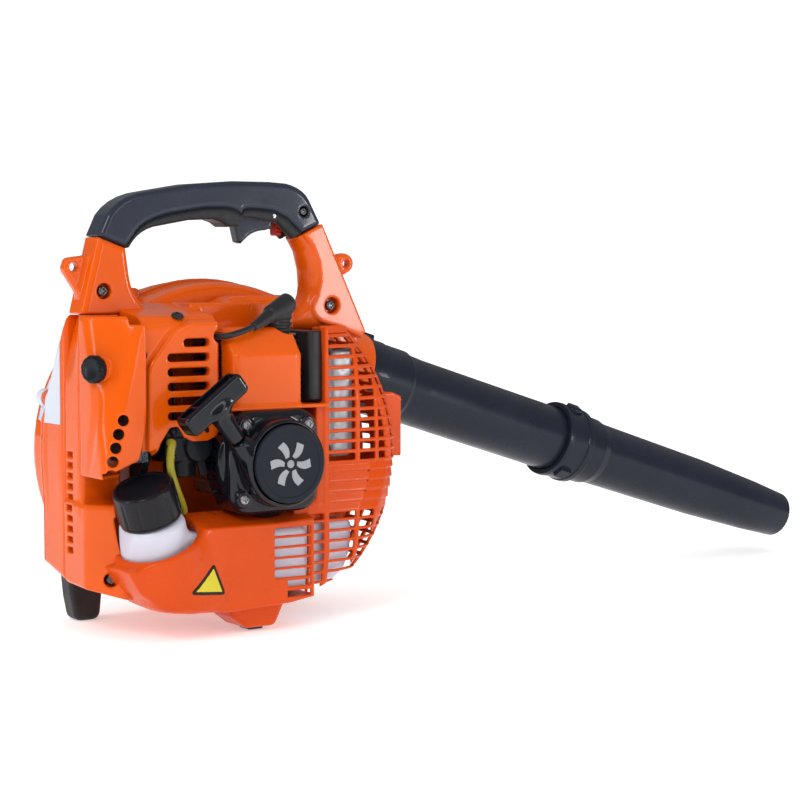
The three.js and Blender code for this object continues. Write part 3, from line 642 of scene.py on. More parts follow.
def tank_guard(s):
    outline = rounded([(-118, 40, 14), (-97, 29, 14), (-76, 23.5, 14), (-42, 20, 20), (14, 22.5, 20),
                       (36.8, 26), (36.8, 110), (-110, 110), (-133, 77, 5), (-128, 56, 20)])
    outside = plate(s, outline, TANK_FRONT, -0.4, 4)
    shelf = rounded([(-100, 0), (-100, 88), (-91.5, 88, 3), (-74, 92.5, 16), (-58, 97, 6), (0, 97), (0, 0)])
    ledge = polygon(s.y, s.z - np.maximum(s.x, 0) * 0.05, shelf)
    outside = meet(outside, ledge, 1.6)
    outside = cut(outside, box(s, (-150, -120, 60), (-64, 0, 130), 2), 3)
    outside = meet(outside, s.x - 36.8, 0.6)
    pocket = rod(s, on_neck(-30), on_neck(25), 40, 35.5, 3)
    pocket = trim(s, pocket, (-121, -80, 50), (-0.86, 0.1, -0.5), 10)
    pocket = meet(pocket, 25 - s.z, 8)
    outside = join(outside, pocket, 9)
    foot = rounded([(-36, 30), (-33, 14, 8), (-19, 3.4, 5), (7, 3.4, 7), (22, 34)])
    foot = plate(s, foot, -80, -41, 5)
    outside = join(outside, foot, 4)
    hollow = rounded([(-112, 60), (-112, 42), (-76, 27), (-42, 23.5), (14, 26), (40, 29), (40, 84),
                      (-112, 84)], 5)
    inside = plate(s, hollow, TANK_FRONT + 3, 5, 3)
    open_top = box(s, (-200, -57, 80), (50, 10, 130), 0)
    shell = cut(cut(outside, inside), open_top, 1)
    shell = cut(shell, rod(s, on_neck(-10), on_neck(40), 31.2, 30.4), 1.2)
    high_windows = overlap(between(s.z, 43, 84.5), rows(s, GRILLE_LEVEL, GRILLE_PITCH, 6.2),
                           between(s.x, -1, 32.5))
    low_windows = overlap(between(s.z, 26, 43), rows(s, GRILLE_LEVEL, GRILLE_PITCH, 4.8),
                          between(s.x, 11, 32.5))
    windows = np.maximum(either(high_windows, low_windows), between(s.y, -100, -80))
    return cut(shell, windows, 1.4)


def air_cleaner_cover(s):
    """A cover with a wedge down its front and a hollow beside it for the knob."""
    skin = np.maximum(-140 - s.x, -75 - s.y)
    skin = trim(s, skin, (-138, -75, 128), (-0.764, -0.625, 0.159), 5)
    skin = trim(s, skin, (-104, -75, 253), (-0.42, -0.78, 0.46), 5)
    skin = meet(skin, s.z - 253.2, 3)
    skin = cut(skin, rod(s, (-146, -62, 262), (-150, -66, 206), 14, 14), 3)
    skin = cut(skin, rod(s, (-150, -66, 206), (-147, -42, 120), 14, 5), 3)
    outside = meet(meet(skin, 128 - s.z, 3), s.y + 30, 1)
    outside = meet(outside, s.x - cover_seam(s) + 0.4, 1.6)
    outside = cut(outside, box(s, (-116, -90, 247), (-90, 0, 260), 0.5), 1)
    shell = cut(outside, np.maximum(skin + 2.4, 130.5 - s.z))
    shell = cut(shell, cap_room(s), 1)
    for x, z in ((-126, 174), (-130, 163.5), (-132.5, 153), (-135, 142.5), (-136.5, 132)):
        shell = cut(shell, rod(s, (x - 4, -92, z), (x + 6, -60, z), 4.3), 0.8)
    shell = join(shell, rod(s, KNOB_BASE - KNOB_OUT * 6, KNOB_BASE + KNOB_OUT * 3.4, 9, 9, 1), 1)
    return cut(shell, rod(s, KNOB_BASE - KNOB_OUT * 8, KNOB_BASE + KNOB_OUT * 14, 6.4), 0.6)


SIDE_SCREW = Vector((-125, -51, 48))
SIDE_SCREW_OUT = Vector((-0.5, -0.866, 0))


def rear_casing(s):
    outline = rounded([(-62, -98.5), (-60, -118, 5), (-36, -140, 5), (-0.4, -140), (-0.4, -98.5)])
    flat = polygon(s.y, s.x, outline)
    low = rounded_pair(flat, between(s.z, 30.5, 106.5), 3.5)
    low = trim(s, low, (-140, -36, 40), (-0.25, 0.05, -0.97), 3)
    low = trim(s, low, (-118, -60, 107), (-0.15, -0.25, 1), 3)
    column = box(s, (-140, -29.6, 95), (-104, -0.4, 262), 4.5)
    column = meet(column, s.z - COVER_TOP + 0.4, 0.8)
    lean = 13 * np.clip((s.z - 182) / 70, 0, 1.2) ** 2 * np.clip((s.y + 30) / 29.6, 0, 1)
    column = meet(column, lean - 140 - s.x, 1)
    outside = join(low, column, 4)
    shell = cut(outside, overlap(flat + WALL, between(s.z, 44, 102), 9 + s.y))
    comb = overlap(between(s.z, 64, 148), rows(s, 68.2, 8.4, 4.4), between(s.y, -15, -4.5), s.x + 135)
    shell = cut(shell, comb, 0.8)
    shell = cut(shell, rod(s, SIDE_SCREW - SIDE_SCREW_OUT * 7, SIDE_SCREW + SIDE_SCREW_OUT * 8, 5.6), 1)
    shell = cut(shell, rod(s, on_neck(-20), on_neck(50), 31, 29), 1)
    return cut(shell, cap_room(s), 1)


# ---- tank, starter and small moulded pieces

def fuel_tank(s):
    body = box(s, (-84, -87, 32), (84, -26, 84), 7)
    guard = polygon(s.out, s.y, [corner[:2] for corner in GUARD_PROFILE]) + 6
    body = meet(body, np.where(s.x > 30, guard, -50), 4)
    body = join(body, rod(s, on_neck(0) - Vector((5, -2, 0)), on_neck(46), 28.5, 25.5, 7), 6)
    body = join(body, rod(s, on_neck(20), on_neck(61), 18, 18, 1), 3)
    return cut(body, rod(s, on_neck(10), on_neck(70), 15), 0.8)


def fuel_cap(s):
    bottom, top = NECK_TOP - NECK_ALONG * 4.2, NECK_TOP + NECK_ALONG * 22.8
    offset = (s.x - bottom.x, s.y - bottom.y, s.z - bottom.z)
    u, v, w = frame_along(NECK_ALONG)
    along = sum(a * b for a, b in zip(offset, w))
    turn = np.arctan2(sum(a * b for a, b in zip(offset, v)), sum(a * b for a, b in zip(offset, u)))
    cap = rod(s, bottom, top, 25, 24.2, 2.4)
    gap = np.abs((turn * 12 / (2 * math.pi)) % 1 - 0.5) * 2 * math.pi / 12 * 25
    out = rod(s, bottom - w * 50, top + w * 50, 25)
    cap = cut(cap, overlap(gap - 1.1, -out - 1.1, along - 22), 0.7)
    cap = cut(cap, rod(s, top - w * 1.1, top + w * 5, 20), 0.8)
    return cut(cap, rod(s, bottom - w * 5, bottom + w * 16, 18.6, 18.6, 1))


def square_outline(half, corner):
    z = CRANK.z
    return rounded([(-half, z - half), (half, z - half), (half, z + half), (-half, z + half)], corner, 10)


STARTER_SCREWS = [(-28, 167), (29, 166), (-30, 109)]


def starter_housing(s):
    front = plate(s, square_outline(41, 20), STARTER_FRONT, -60, 6)
    cup = hub(s, 46, -82, -56, 3)
    cup = meet(cup, s.x - 20, 3)
    body = join(front, np.maximum(cup, s.x - 10), 4)
    boss = hub(s, 35, -111, -88, 3.2)
    body = join(body, boss, 3)
    body = join(body, rod(s, ROPE_START + PULL * 4, ROPE_START + PULL * 38.5, 11, 8, 2), 6)
    for x, z in STARTER_SCREWS:
        body = join(body, pin(s, x, z, 6.6, STARTER_FRONT - 2, -70, 1.2), 2.5)
    body = cut(body, hub(s, 31.8, -112, -108.8), 0.5)
    for turn in range(150, 241, 15):
        x = 47 * math.cos(math.radians(turn))
        z = CRANK.z + 47 * math.sin(math.radians(turn))
        body = cut(body, box(s, (x - 2, -78, z - 1.6), (x + 2, -64, z + 1.6), 0.6), 0.5)
    inside = join(plate(s, square_outline(38, 17), -89, -50, 3), hub(s, 31.5, -106, -70, 2))
    body = cut(body, inside)
    return cut(body, rod(s, ROPE_START + PULL * 10, ROPE_START + PULL * 45, 3), 0.8)


HANDLE_MIDDLE = ROPE_START + PULL * PULL_HANDLE_OUT
BAR_ALONG = Vector((PULL.z, 0, -PULL.x))


def starter_handle(s):
    """A bar with rounded ends across the pull, on a tapered stem."""
    dx, dz = s.x - HANDLE_MIDDLE.x, s.z - HANDLE_MIDDLE.z
    along = dx * BAR_ALONG.x + dz * BAR_ALONG.z
    height = dx * PULL.x + dz * PULL.z
    outline = rounded([(-30, -8), (-30, 9.5), (30, 9.5), (30, -8)], 5)
    off_middle = np.abs(s.y - HANDLE_MIDDLE.y)
    body = rounded_pair(polygon(along, height, outline), off_middle - 9, 3)
    recess = rounded_pair(np.maximum(np.abs(along) - 26.5, 4.5 - height), off_middle - 6.2, 1)
    body = cut(body, np.maximum(recess, 1 - np.abs(along + 14)), 0.6)
    stem = rod(s, ROPE_START + PULL * 39.8, HANDLE_MIDDLE - PULL * 4, 6.6, 9.5, 1.5)
    return join(body, stem, 7)


def plug_boot(s):
    """A ribbed cap over the plug with an elbow that runs down to the lead."""
    cap = rod(s, (21, -55, 236), (23, -59, 259), 12.5, 10, 3)
    for height in (239, 244, 249):
        cap = join(cap, rod(s, (21, -56, height), (21, -56, height + 2), 13.8, 13.8, 0.8), 0.8)
    head = rod(s, (32, -60, 262.5), (8, -68, 252), 8.6, 7.2, 3)
    tail = rod(s, (10, -67.5, 252.6), (-11, -76, 243.2), 5.8, 3.6, 1)
    return join(join(cap, head, 4), tail, 1)


def carburettor(s):
    body = box(s, (-84, -66, 138), (-46.4, -38, 168), 3)
    body = join(body, pin(s, -56, 150, 12, -70, -40, 2), 2)
    body = join(body, rod(s, (-65, -52, 126), (-65, -52, 140), 13, 13, 1.5), 1)
    body = join(body, box(s, (-80, -69, 158), (-50, -60, 172), 2), 2)
    for x, z in ((-79, 143), (-79, 163), (-50, 163)):
        body = join(body, pin(s, x, z, 2.4, -71, -60, 0.6), 0.6)
    return body


def muffler(s):
    can = box(s, (72, -57, 134), (96, -16, 224), 5)
    bead = box(s, (71, -39, 133), (97, -35, 225), 1.5)
    flange = box(s, (62, -56, 142), (76, -18, 218), 3)
    return join(join(can, bead, 1.2), flange, 1)


def rear_foot(s):
    outline = rounded([(-120, 78, 3), (-117, 50), (-114, 20, 12), (-110, 0, 8), (-88, 0, 8), (-84, 40),
                       (-78, 100)])
    return cut(plate(s, outline, 44, 64, 4), polygon(s.x, s.z, volute()) - 0.4)


def front_foot(s):
    outline = rounded([(58, 0, 6), (90, 0, 6), (99, 12, 8), (104, 60), (56, 60)])
    return cut(plate(s, outline, 44, 76, 4), polygon(s.x, s.z, volute()) - 0.4)


def stand_pad(s):
    return box(s, (-12, -68, 0), (2, -52, 5), 1.6)


def crankcase(s):
    body = box(s, (-30, -58, 108), (30, -12, 162), 3)
    body = join(body, hub(s, 30, -58, -12, 2), 3)
    for z in (118, 130, 146, 158):
        body = join(body, box(s, (-32, -54, z), (32, -16, z + 2.4), 0.8), 1)
    for radius, low_y, high_y in ((24.5, -50, -20), (13.6, -57.4, -13.2), (9.3, -62, -8)):
        body = cut(body, hub(s, radius, low_y, high_y))
    return cut(body, rod(s, (0, -35, 140), (0, -35, 170), 17.7))


def cylinder(s):
    """A finned barrel on its flange, bored for the piston."""
    fins = polygon(s.x, s.y, rounded([(-30, -70), (40, -70), (40, -5), (-30, -5)], 8, 3))
    fins = cut(fins, np.maximum(214 - s.z, s.y + 58))
    fins = overlap(fins, rows(s, 184, 5.2, 2), between(s.z, 182, 237))
    body = join(rod(s, (0, -35, 162.3), (0, -35, 235), 22), fins, 0.6)
    body = join(body, box(s, (-29, -57, 162.3), (29, -13, 168), 1.5), 1)
    return cut(body, rod(s, (0, -35, 150), (0, -35, 222), 17.6))


# ---- turned, cut-out and swept pieces

def blower_tube():
    profile = [(DUCT_END + 5, 27.5), (DUCT_END + 5, 29.6, 0.5), (SOCKET_END + 0.8, 29.6, 0.5),
               (SOCKET_END + 0.8, 33, 2), (SOCKET_END + 18, 33.4, 0.6), (SOCKET_END + 19, 32.7, 0.6),
               (SHOULDER_END, 32.7, 2.5), (SHOULDER_END + 4, 30.8, 8), (SHOULDER_END + 22, 30, 20),
               (TUBE_END, 30, 0.5), (TUBE_END, 27.5, 0.5)]
    tube = turned("blower_tube_shell", TUBE_START, TUBE_ALONG, rounded(profile, steps=4))
    for turn in (60, 180, 300):
        lock_lug(tube, SOCKET_END + 3, 33, turn)
    return tube


def nozzle_tube():
    outside = [(0, 30.4, 0.6), (0, 35.2, 1.2), (5, 35.6, 0.6), (6, 34.4, 0.6), (23, 34.4, 0.6),
               (24, 35.6, 0.6), (30, 35.4, 1.2), (31, 32, 1), (48, 31.6, 3), (56, 29.4, 8), (193, 28, 160),
               (268, 25, 120), (NOZZLE_LENGTH, 22.2, 1)]
    inside = [(NOZZLE_LENGTH, 20, 0.8), (268, 22.8, 100), (193, 25.8, 100), (55, 26.8, 2),
              (NOZZLE_OVERLAP, 27, 1), (NOZZLE_OVERLAP, 30.4, 0.4)]
    profile = rounded([(NOZZLE_START + along, *rest) for along, *rest in outside + inside], steps=5)
    nozzle = turned("nozzle_shell", TUBE_START, TUBE_ALONG, profile)
    for turn in (85, 205, 325):
        lock_lug(nozzle, NOZZLE_START + 12, 34.2, turn)
    return nozzle


def add_block(obj, corners):
    """Adds a closed block with eight corners, the low four first, to an object's mesh."""
    count = len(obj.data.vertices)
    faces = [(0, 3, 2, 1), (4, 5, 6, 7), (0, 1, 5, 4), (1, 2, 6, 5), (2, 3, 7, 6), (3, 0, 4, 7)]
    old_points = [tuple(v.co) for v in obj.data.vertices]
    old_faces = [tuple(p.vertices) for p in obj.data.polygons]
    mesh = bpy.data.meshes.new(obj.name)
    added = to_metres(corners).tolist()
    mesh.from_pydata(old_points + added, [], old_faces + [[i + count for i in face] for face in faces])
    smooth = [True] * len(old_faces) + [False] * len(faces)
    mesh.polygons.foreach_set("use_smooth", smooth)
    obj.data = mesh


def lock_lug(obj, along, radius, turn):
    """A bayonet lug that stands on a tube."""
    u, v, w = frame_along(TUBE_ALONG)
    corners = []
    for height, taper in ((-1.5, 0), (4.2, 1.2)):
        for side, step in ((-6, -7), (6, -7), (6, 7), (-6, 7)):
            angle = math.radians(turn) + (side - math.copysign(taper, side)) / radius
            out = u * math.cos(angle) + v * math.sin(angle)
            middle = TUBE_START + w * (along + step - math.copysign(taper, step))
            corners.append(middle + out * (radius + height))
    add_block(obj, corners)


def extruded(name, outline, low_y, high_y):
    """An outline in X and Z with flat faces at two values of Y."""
    rings = [[(x, y, z) for x, z in outline] for y in (low_y, high_y)]
    return skinned(name, rings, caps=True, smooth=False)


def joined(name, pieces):
    """Puts the meshes of several objects into the first and renames it."""
    with bpy.context.temp_override(active_object=pieces[0], selected_editable_objects=pieces):
        bpy.ops.object.join()
    pieces[0].name = name
    return pieces[0]


def screw(name, place, out, radius, height):
    """A pan-head screw with a cross recess."""
    u, v, w = frame_along(out)
    profile = [(-6, 0), (-6, radius * 0.5), (-0.2, radius * 0.5), (0, radius), (height * 0.45, radius),
               (height * 0.85, radius * 0.82), (height, radius * 0.5), (height, 0)]
    head = turned(name, place, out, profile, 32)
    for a, b in ((u, v), (v, -u)):
        corners = []
        for level in (height * 0.5, height + 1):
            for p, q in ((-1, -1), (1, -1), (1, 1), (-1, 1)):
                corners.append(Vector(place) + w * level + a * p * radius * 0.52 + b * q * radius * 0.13)
        cutter = new_piece("cutter", [], [])
        add_block(cutter, corners)
        subtract(head, cutter)
    return head


def subtract(obj, cutter):
    modifier = obj.modifiers.new("cut", "BOOLEAN")
    modifier.operation = "DIFFERENCE"
    modifier.solver = "EXACT"
    modifier.object = cutter
    with bpy.context.temp_override(object=obj, active_object=obj):
        bpy.ops.object.modifier_apply(modifier=modifier.name)
    bpy.data.objects.remove(cutter)


def starter_disc():
    profile = rounded([(-111.3, 0), (-111.3, 31, 0.4), (-114.2, 31, 0.6), (-114.9, 30.2, 0.4),
                       (-115, 27, 0.4), (-114.4, 26.2, 0.4), (-114.4, 0)], steps=3)
    return turned("starter_badge", (0, 0, CRANK.z), (0, 1, 0), profile)


def fan_rosette():
    """A plain six-bladed fan figure with a hub, standing a little off the starter disc."""
    blades = []
    for k in range(6):
        turn = 2 * math.pi * k / 6
        outline = curve((5.5, -1.5), (11, -6.5), (18.5, -3), 6) + curve((17.5, 3.5), (11, 0.5), (6, 1.8), 6)
        c, n = math.cos(turn), math.sin(turn)
        outline = [(x * c - z * n, CRANK.z + x * n + z * c) for x, z in outline]
        blades.append(extruded("blade", outline, -114.85, -114.3))
    profile = [(-114.9, 0), (-114.9, 3.2), (-114.2, 3.2), (-114.2, 0)]
    middle = turned("hub", (0, 0, CRANK.z), (0, 1, 0), profile, 32)
    return joined("fan_rosette", blades + [middle])


def knob():
    """A round knob with a fluted rim."""
    u, v, w = frame_along(KNOB_OUT)
    profile = [(-2, 0, 0), (-2, 6, 0), (4, 6, 0), (4, 10.2, 0), (4.8, 10.9, 0.7), (9.5, 10.9, 0.7),
               (11.6, 9.6, 0.49), (12, 8, 0), (11.4, 6.6, 0), (11.2, 0, 0)]
    rings = [ring(KNOB_BASE + w * along, u, v, radius, 96, notch) for along, radius, notch in profile]
    return skinned("cover_knob_cap", rings)


def triangle_label(name, grow, lift):
    """A three-cornered label that follows the tank guard's front."""
    corners = rounded([(-57, 61), (-82, 39), (-46, 35)], 2.5, 4)

    def field(s):
        patch = plate(s, corners, -115, -80, 0, grow)
        return np.maximum(meet(tank_guard(s) - lift, -tank_guard(s) - 0.3), patch)

    return moulded(name, (-85, -100, 33), (-43, -84, 63), field, VOXEL * 0.5)


def rim_label():
    """A blank label down the rim of the fan case, on both sides of its seam."""
    def field(s):
        sides = either(between(s.y, 6, 34), between(s.y, 44, 62))
        return overlap(np.abs(fan_case(s) - 0.3) - 0.6, sides, between(s.z, 166, 232))

    return moulded("rim_label", (-146, 5, 151), (-80, 63, 233), field, VOXEL * 0.6)


# ---- materials

def nodes_of(name):
    material = bpy.data.materials.new(name)
    material.use_nodes = True
    return material, material.node_tree, material.node_tree.nodes["Principled BSDF"]


def set_sockets(node, settings):
    for socket, value in settings.items():
        node.inputs[socket].default_value = value


def noise(tree, scale, detail, stretch=None):
    """Noise fixed to the object, its scale in features to the metre."""
    place = tree.nodes.new("ShaderNodeTexCoord").outputs["Object"]
    if stretch:
        mapping = tree.nodes.new("ShaderNodeMapping")
        set_sockets(mapping, {"Scale": stretch})
        tree.links.new(place, mapping.inputs["Vector"])
        place = mapping.outputs["Vector"]
    texture = tree.nodes.new("ShaderNodeTexNoise")
    set_sockets(texture, {"Scale": scale, "Detail": detail})
    tree.links.new(place, texture.inputs["Vector"])
    return texture.outputs["Fac"]


def ramp(tree, value, low, high, start=0.3, end=0.7):
    """Maps a value between two grey levels or two colours."""
    node = tree.nodes.new("ShaderNodeValToRGB")
    node.color_ramp.elements[0].position = start
    node.color_ramp.elements[1].position = end
    for element, colour in zip(node.color_ramp.elements, (low, high)):
        element.color = (*colour, 1) if hasattr(colour, "__len__") else (colour, colour, colour, 1)
    tree.links.new(value, node.inputs["Fac"])
    return node.outputs["Color"]


def bump(tree, shader, heights):
    """Stacks bumps, each a value and its height in metres."""
    normal = None
    for value, height in heights:
        node = tree.nodes.new("ShaderNodeBump")
        set_sockets(node, {"Strength": 1.0, "Distance": height})
        tree.links.new(value, node.inputs["Height"])
        if normal:
            tree.links.new(normal, node.inputs["Normal"])
        normal = node.outputs["Normal"]
    tree.links.new(normal, shader.inputs["Normal"])


def shade(colour, factor):
    return tuple(channel * factor for channel in colour)


def surface(name, tone, gloss, bumps, sockets):
    """A material whose colour, roughness and height come from noise.

    tone and gloss are a noise's scale and detail, and the low and high value that it is mapped to.
    """
    material, tree, shader = nodes_of(name)
    for socket, (grain, low, high) in (("Base Color", tone), ("Roughness", gloss)):
        tree.links.new(ramp(tree, noise(tree, *grain), low, high), shader.inputs[socket])
    set_sockets(shader, sockets)
    bump(tree, shader, [(noise(tree, *grain), height) for *grain, height in bumps])
    return material


def moulded_plastic(name, colour, rough, grain, grain_height, coat=0.0, variation=0.06):
    """Plastic with a fine moulded grain, slow waviness and uneven gloss."""
    tone = ((14, 4), shade(colour, 1 - variation), shade(colour, 1 + variation))
    gloss = ((60, 5), rough - 0.05, rough + 0.05)
    return surface(name, tone, gloss, [(22, 2, 0.0004), (grain, 2, grain_height)],
                   {"Specular IOR Level": 0.14, "Coat Weight": coat, "Coat Roughness": 0.05})


def metal(name, colour, rough, grain, grain_height, stretch=None):
    tone = ((35, 5), shade(colour, 0.8), shade(colour, 1.12))
    gloss = ((200, 4, stretch), rough - 0.1, rough + 0.12)
    return surface(name, tone, gloss, [(grain, 3, stretch, grain_height)], {"Metallic": 1.0})


def rubber(name, colour, rough):
    tone = ((30, 4), shade(colour, 0.8), shade(colour, 1.3))
    return surface(name, tone, ((120, 3), rough - 0.08, rough + 0.08), [(1400, 2, 0.00012)],
                   {"Sheen Weight": 0.15, "Sheen Roughness": 0.4})


def milky_plastic():
    tone = ((18, 3), (0.50, 0.50, 0.60), (0.62, 0.62, 0.70))
    return surface("milky tank plastic", tone, ((90, 3), 0.30, 0.42), [(25, 2, 0.0005), (900, 2, 0.00004)],
                   {"Subsurface Weight": 0.35, "Subsurface Radius": (0.006, 0.006, 0.007)})


def filter_foam():
    material, tree, shader = nodes_of("filter foam")
    cells = tree.nodes.new("ShaderNodeTexVoronoi")
    cells.inputs["Scale"].default_value = 700
    place = tree.nodes.new("ShaderNodeTexCoord").outputs["Object"]
    tree.links.new(place, cells.inputs["Vector"])
    tree.links.new(ramp(tree, cells.outputs["Distance"], (0.01, 0.012, 0.016), (0.09, 0.11, 0.14)),
                   shader.inputs["Base Color"])
    shader.inputs["Roughness"].default_value = 0.95
    bump(tree, shader, [(cells.outputs["Distance"], 0.0006)])
    return material


# Each plastic: its name, colour, roughness, grain to the metre, grain height in metres, coat and variation.
PLASTICS = {
    "orange_shell": ("gloss orange plastic", (0.68, 0.088, 0.001), 0.24, 1500, 0.00002, 0.3),
    "orange_guard": ("satin orange plastic", (0.60, 0.062, 0.0015), 0.30, 1300, 0.00003, 0.12),
    "tube_plastic": ("blown black plastic", (0.012, 0.015, 0.025), 0.30, 1100, 0.00004, 0.1, 0.15),
    "grip_plastic": ("slate grip plastic", (0.020, 0.025, 0.040), 0.30, 1600, 0.00005, 0.3, 0.12),
    "black_plastic": ("satin black plastic", (0.005, 0.006, 0.009), 0.38, 1200, 0.00005, 0.1, 0.2),
    "starter_plastic": ("gloss black plastic", (0.004, 0.005, 0.009), 0.2, 1500, 0.00002, 0.4, 0.15),
    "disc_plastic": ("matt disc plastic", (0.013, 0.015, 0.023), 0.55, 1800, 0.00005, 0.0, 0.08),
    "cap_plastic": ("cap plastic", (0.006, 0.006, 0.009), 0.32, 1400, 0.00006, 0.2, 0.25),
    "red_plastic": ("red switch plastic", (0.36, 0.012, 0.006), 0.35, 1500, 0.00003, 0.1),
    "hose_rubber": ("yellow fuel hose", (0.30, 0.26, 0.02), 0.25, 900, 0.00003, 0.3, 0.1),
    "white_label": ("white label film", (0.55, 0.58, 0.66), 0.3, 800, 0.00002, 0.1, 0.05),
    "yellow_label": ("yellow label film", (0.62, 0.52, 0.03), 0.3, 900, 0.00002, 0.1, 0.06),
    "label_border": ("black label border", (0.010, 0.010, 0.009), 0.35, 900, 0.00002, 0.1, 0.1),
    "rosette": ("light grey print", (0.30, 0.31, 0.33), 0.45, 1500, 0.00002, 0.0, 0.05),
}
MATERIALS = {finish: moulded_plastic(*settings) for finish, settings in PLASTICS.items()}
MATERIALS |= {
    "grip_rubber": rubber("grip underside rubber", (0.004, 0.005, 0.007), 0.62),
    "soft_black": rubber("dull black rubber", (0.004, 0.004, 0.006), 0.5),
    "foot_rubber": rubber("foot rubber", (0.005, 0.006, 0.008), 0.6),
    "tank_plastic": milky_plastic(),
    "filter_foam": filter_foam(),
    "cast_alloy": metal("cast alloy", (0.36, 0.37, 0.39), 0.42, 900, 0.00012),
    "steel": metal("satin steel", (0.34, 0.34, 0.36), 0.40, 500, 0.00002, (1, 8, 1)),
    "dark_screw": metal("dark screw steel", (0.16, 0.15, 0.15), 0.35, 500, 0.00002),
}


# ---- putting the pieces on the frame

def coat_with(piece, finish):
    piece.data.materials.clear()
    piece.data.materials.append(MATERIALS[finish])


def dress(piece, node, slot_name=None):
    """Puts a piece in the place of a CAD node, on its body and in its finish or another of the record's."""
    slot_name = slot_name or slot_of[node]
    coat_with(piece, slot_name)
    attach(piece, body_of[node])
    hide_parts(node)


def add_detail(piece, finish):
    """Puts a piece that stands for no CAD node on the machine's body."""
    coat_with(piece, finish)
    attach(piece, "body")


# Each moulded piece: its name, its field, and the low and high corners of the space to search. The field is
# named after the CAD node that the piece replaces.
MOULDED = [
    ("fan_case_half_inner", fan_case_inner, (-152, 0, -4), (160, 40, 286)),
    ("fan_case_half_outer", fan_case_outer, (-152, 38, -4), (160, 80, 286)),
    ("intake_grille", intake_guard, (-90, 78, 47), (90, 98, 227)),
    ("rear_arm_shell", rear_handle_arm, (-148, -29, 252), (-50, 1, 318)),
    ("front_arm_shell", front_handle_arm, (44, -29, 228), (128, 1, 328)),
    ("grip_shell", handle_grip, (-123, -29, 303), (86, 1, 362)),
    ("grip_underside", grip_insert, (-99, -29, 303), (66, 1, 342)),
    ("throttle_trigger_lever", throttle_trigger, (0, -21, 308), (44, -7, 338)),
    ("stop_switch_slider", stop_switch, (43, -20, 315), (51, -8, 332)),
    ("engine_shroud_shell", engine_shroud, (-117, -87, 120), (57, -1, 268)),
    ("muffler_guard_grille", muffler_guard, (22, -83, 18), (148, 0, 244)),
    ("tank_guard_shell", tank_guard, (-142, -110, 2), (38, 0, 100)),
    ("air_cleaner_lid", air_cleaner_cover, (-144, -77, 127), (-98, -29, 254)),
    ("rear_casing_shell", rear_casing, (-141, -64, 22), (-97, 0, 255)),
    ("fuel_tank_shell", fuel_tank, (-114, -96, 30), (86, -24, 112)),
    ("fuel_cap_ribbed", fuel_cap, (-136, -112, 84), (-68, -44, 134)),
    ("starter_housing_shell", starter_housing, (-50, -112, 90), (43, -50, 184)),
    ("starter_pull_handle", starter_handle, (-95, -112, 148), (-28, -90, 214)),
    ("plug_boot_moulding", plug_boot, (-16, -82, 234), (43, -40, 274)),
    ("carburettor_body", carburettor, (-86, -72, 124), (-44, -36, 174)),
    ("muffler_can", muffler, (58, -59, 131), (99, -15, 227)),
    ("rear_foot_moulding", rear_foot, (-122, 43, -1), (-74, 65, 102)),
    ("front_foot_moulding", front_foot, (55, 43, -1), (106, 77, 62)),
    ("stand_pad_rubber", stand_pad, (-16, -77, -0.5), (9, -43, 8)),
    ("cylinder_casting", cylinder, (-31, -72, 161), (41, -3, 238)),
    ("crankcase_casting", crankcase, (-34, -60, 105), (34, -11, 163)),
]
FINE = {intake_guard, throttle_trigger, stop_switch, fuel_cap, starter_housing, starter_handle, plug_boot,
        cylinder}
OTHER_SLOTS = {"carburettor": "black_plastic"}

for name, field, low, high in MOULDED:
    piece = moulded(name, low, high, field, VOXEL * 0.7 if field in FINE else VOXEL)
    dress(piece, field.__name__, OTHER_SLOTS.get(field.__name__))

dress(blower_tube(), "blower_tube")
dress(nozzle_tube(), "nozzle")
dress(starter_disc(), "starter_disc")
add_detail(fan_rosette(), "rosette")
# Painted shade: a dull black sheet in the shroud's opening that darkens the engine bay behind the fins.
add_detail(moulded("engine_bay_painted_shade", (38, -78, 181), (57, -10, 241), heat_shield), "soft_black")
add_detail(screw("shroud_screw", (-70, -60, 252), (0, -0.4, 1), 5, 3), "soft_black")
dress(knob(), "cover_knob")

# Each cord that is fixed at both ends: its piece, its CAD node, its radius and its route.
CORDS = [
    ("fuel_hose_tube", "fuel_hose", 3.1,
     [(-60, -50, 84.4), (-60, -50, 90), (-66, -60, 102), (-77, -70, 118), (-84, -74, 134), (-84, -74, 147),
      (-81.5, -72, 154), (-81, -67, 154.5)]),
    ("throttle_cable_sheath", "throttle_cable", 1.5,
     [(-66, -46, 168.5), (-66, -43, 200), (-66, -24, 235), (-66, -16, 253.5)]),
    ("ignition_lead_cord", "ignition_lead", 2.5,
     [(-9, -75.2, 244.2), (-16, -77.6, 242), (-25, -79.4, 239.5), (-33, -78, 237.4), (-37.4, -72, 236.2),
      (-38, -58, 236)]),
]
for name, node, radius, route in CORDS:
    dress(swept(name, route, radius), node)

HANDLE_SCREWS = [("rear_arm_screw", REAR_SCREW, -24.0, 4.4), ("front_arm_screw", FRONT_SCREW, -24.0, 4.4),
                 ("grip_screw", GRIP_SCREW, -25.0, 3.2)]
for node, (x, z), y, radius in HANDLE_SCREWS:
    head = screw(node + "_head", (x, y, z), (0, -1, 0), radius, 2.6)
    add_detail(head, "dark_screw")
    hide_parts(node)
for i, (x, z) in enumerate(STARTER_SCREWS):
    node = f"starter_screw_{i + 1}"
    dress(screw(node + "_head", (x, STARTER_FRONT - 2, z), (0, -1, 0), 4.0, 2.4), node)
add_detail(screw("side_screw", SIDE_SCREW - SIDE_SCREW_OUT * 5, SIDE_SCREW_OUT, 4.2, 2.6), "dark_screw")

add_detail(triangle_label("label_border", 0, 0.4), "label_border")
add_detail(triangle_label("label_field", -2.4, 0.7), "yellow_label")
add_detail(rim_label(), "white_label")

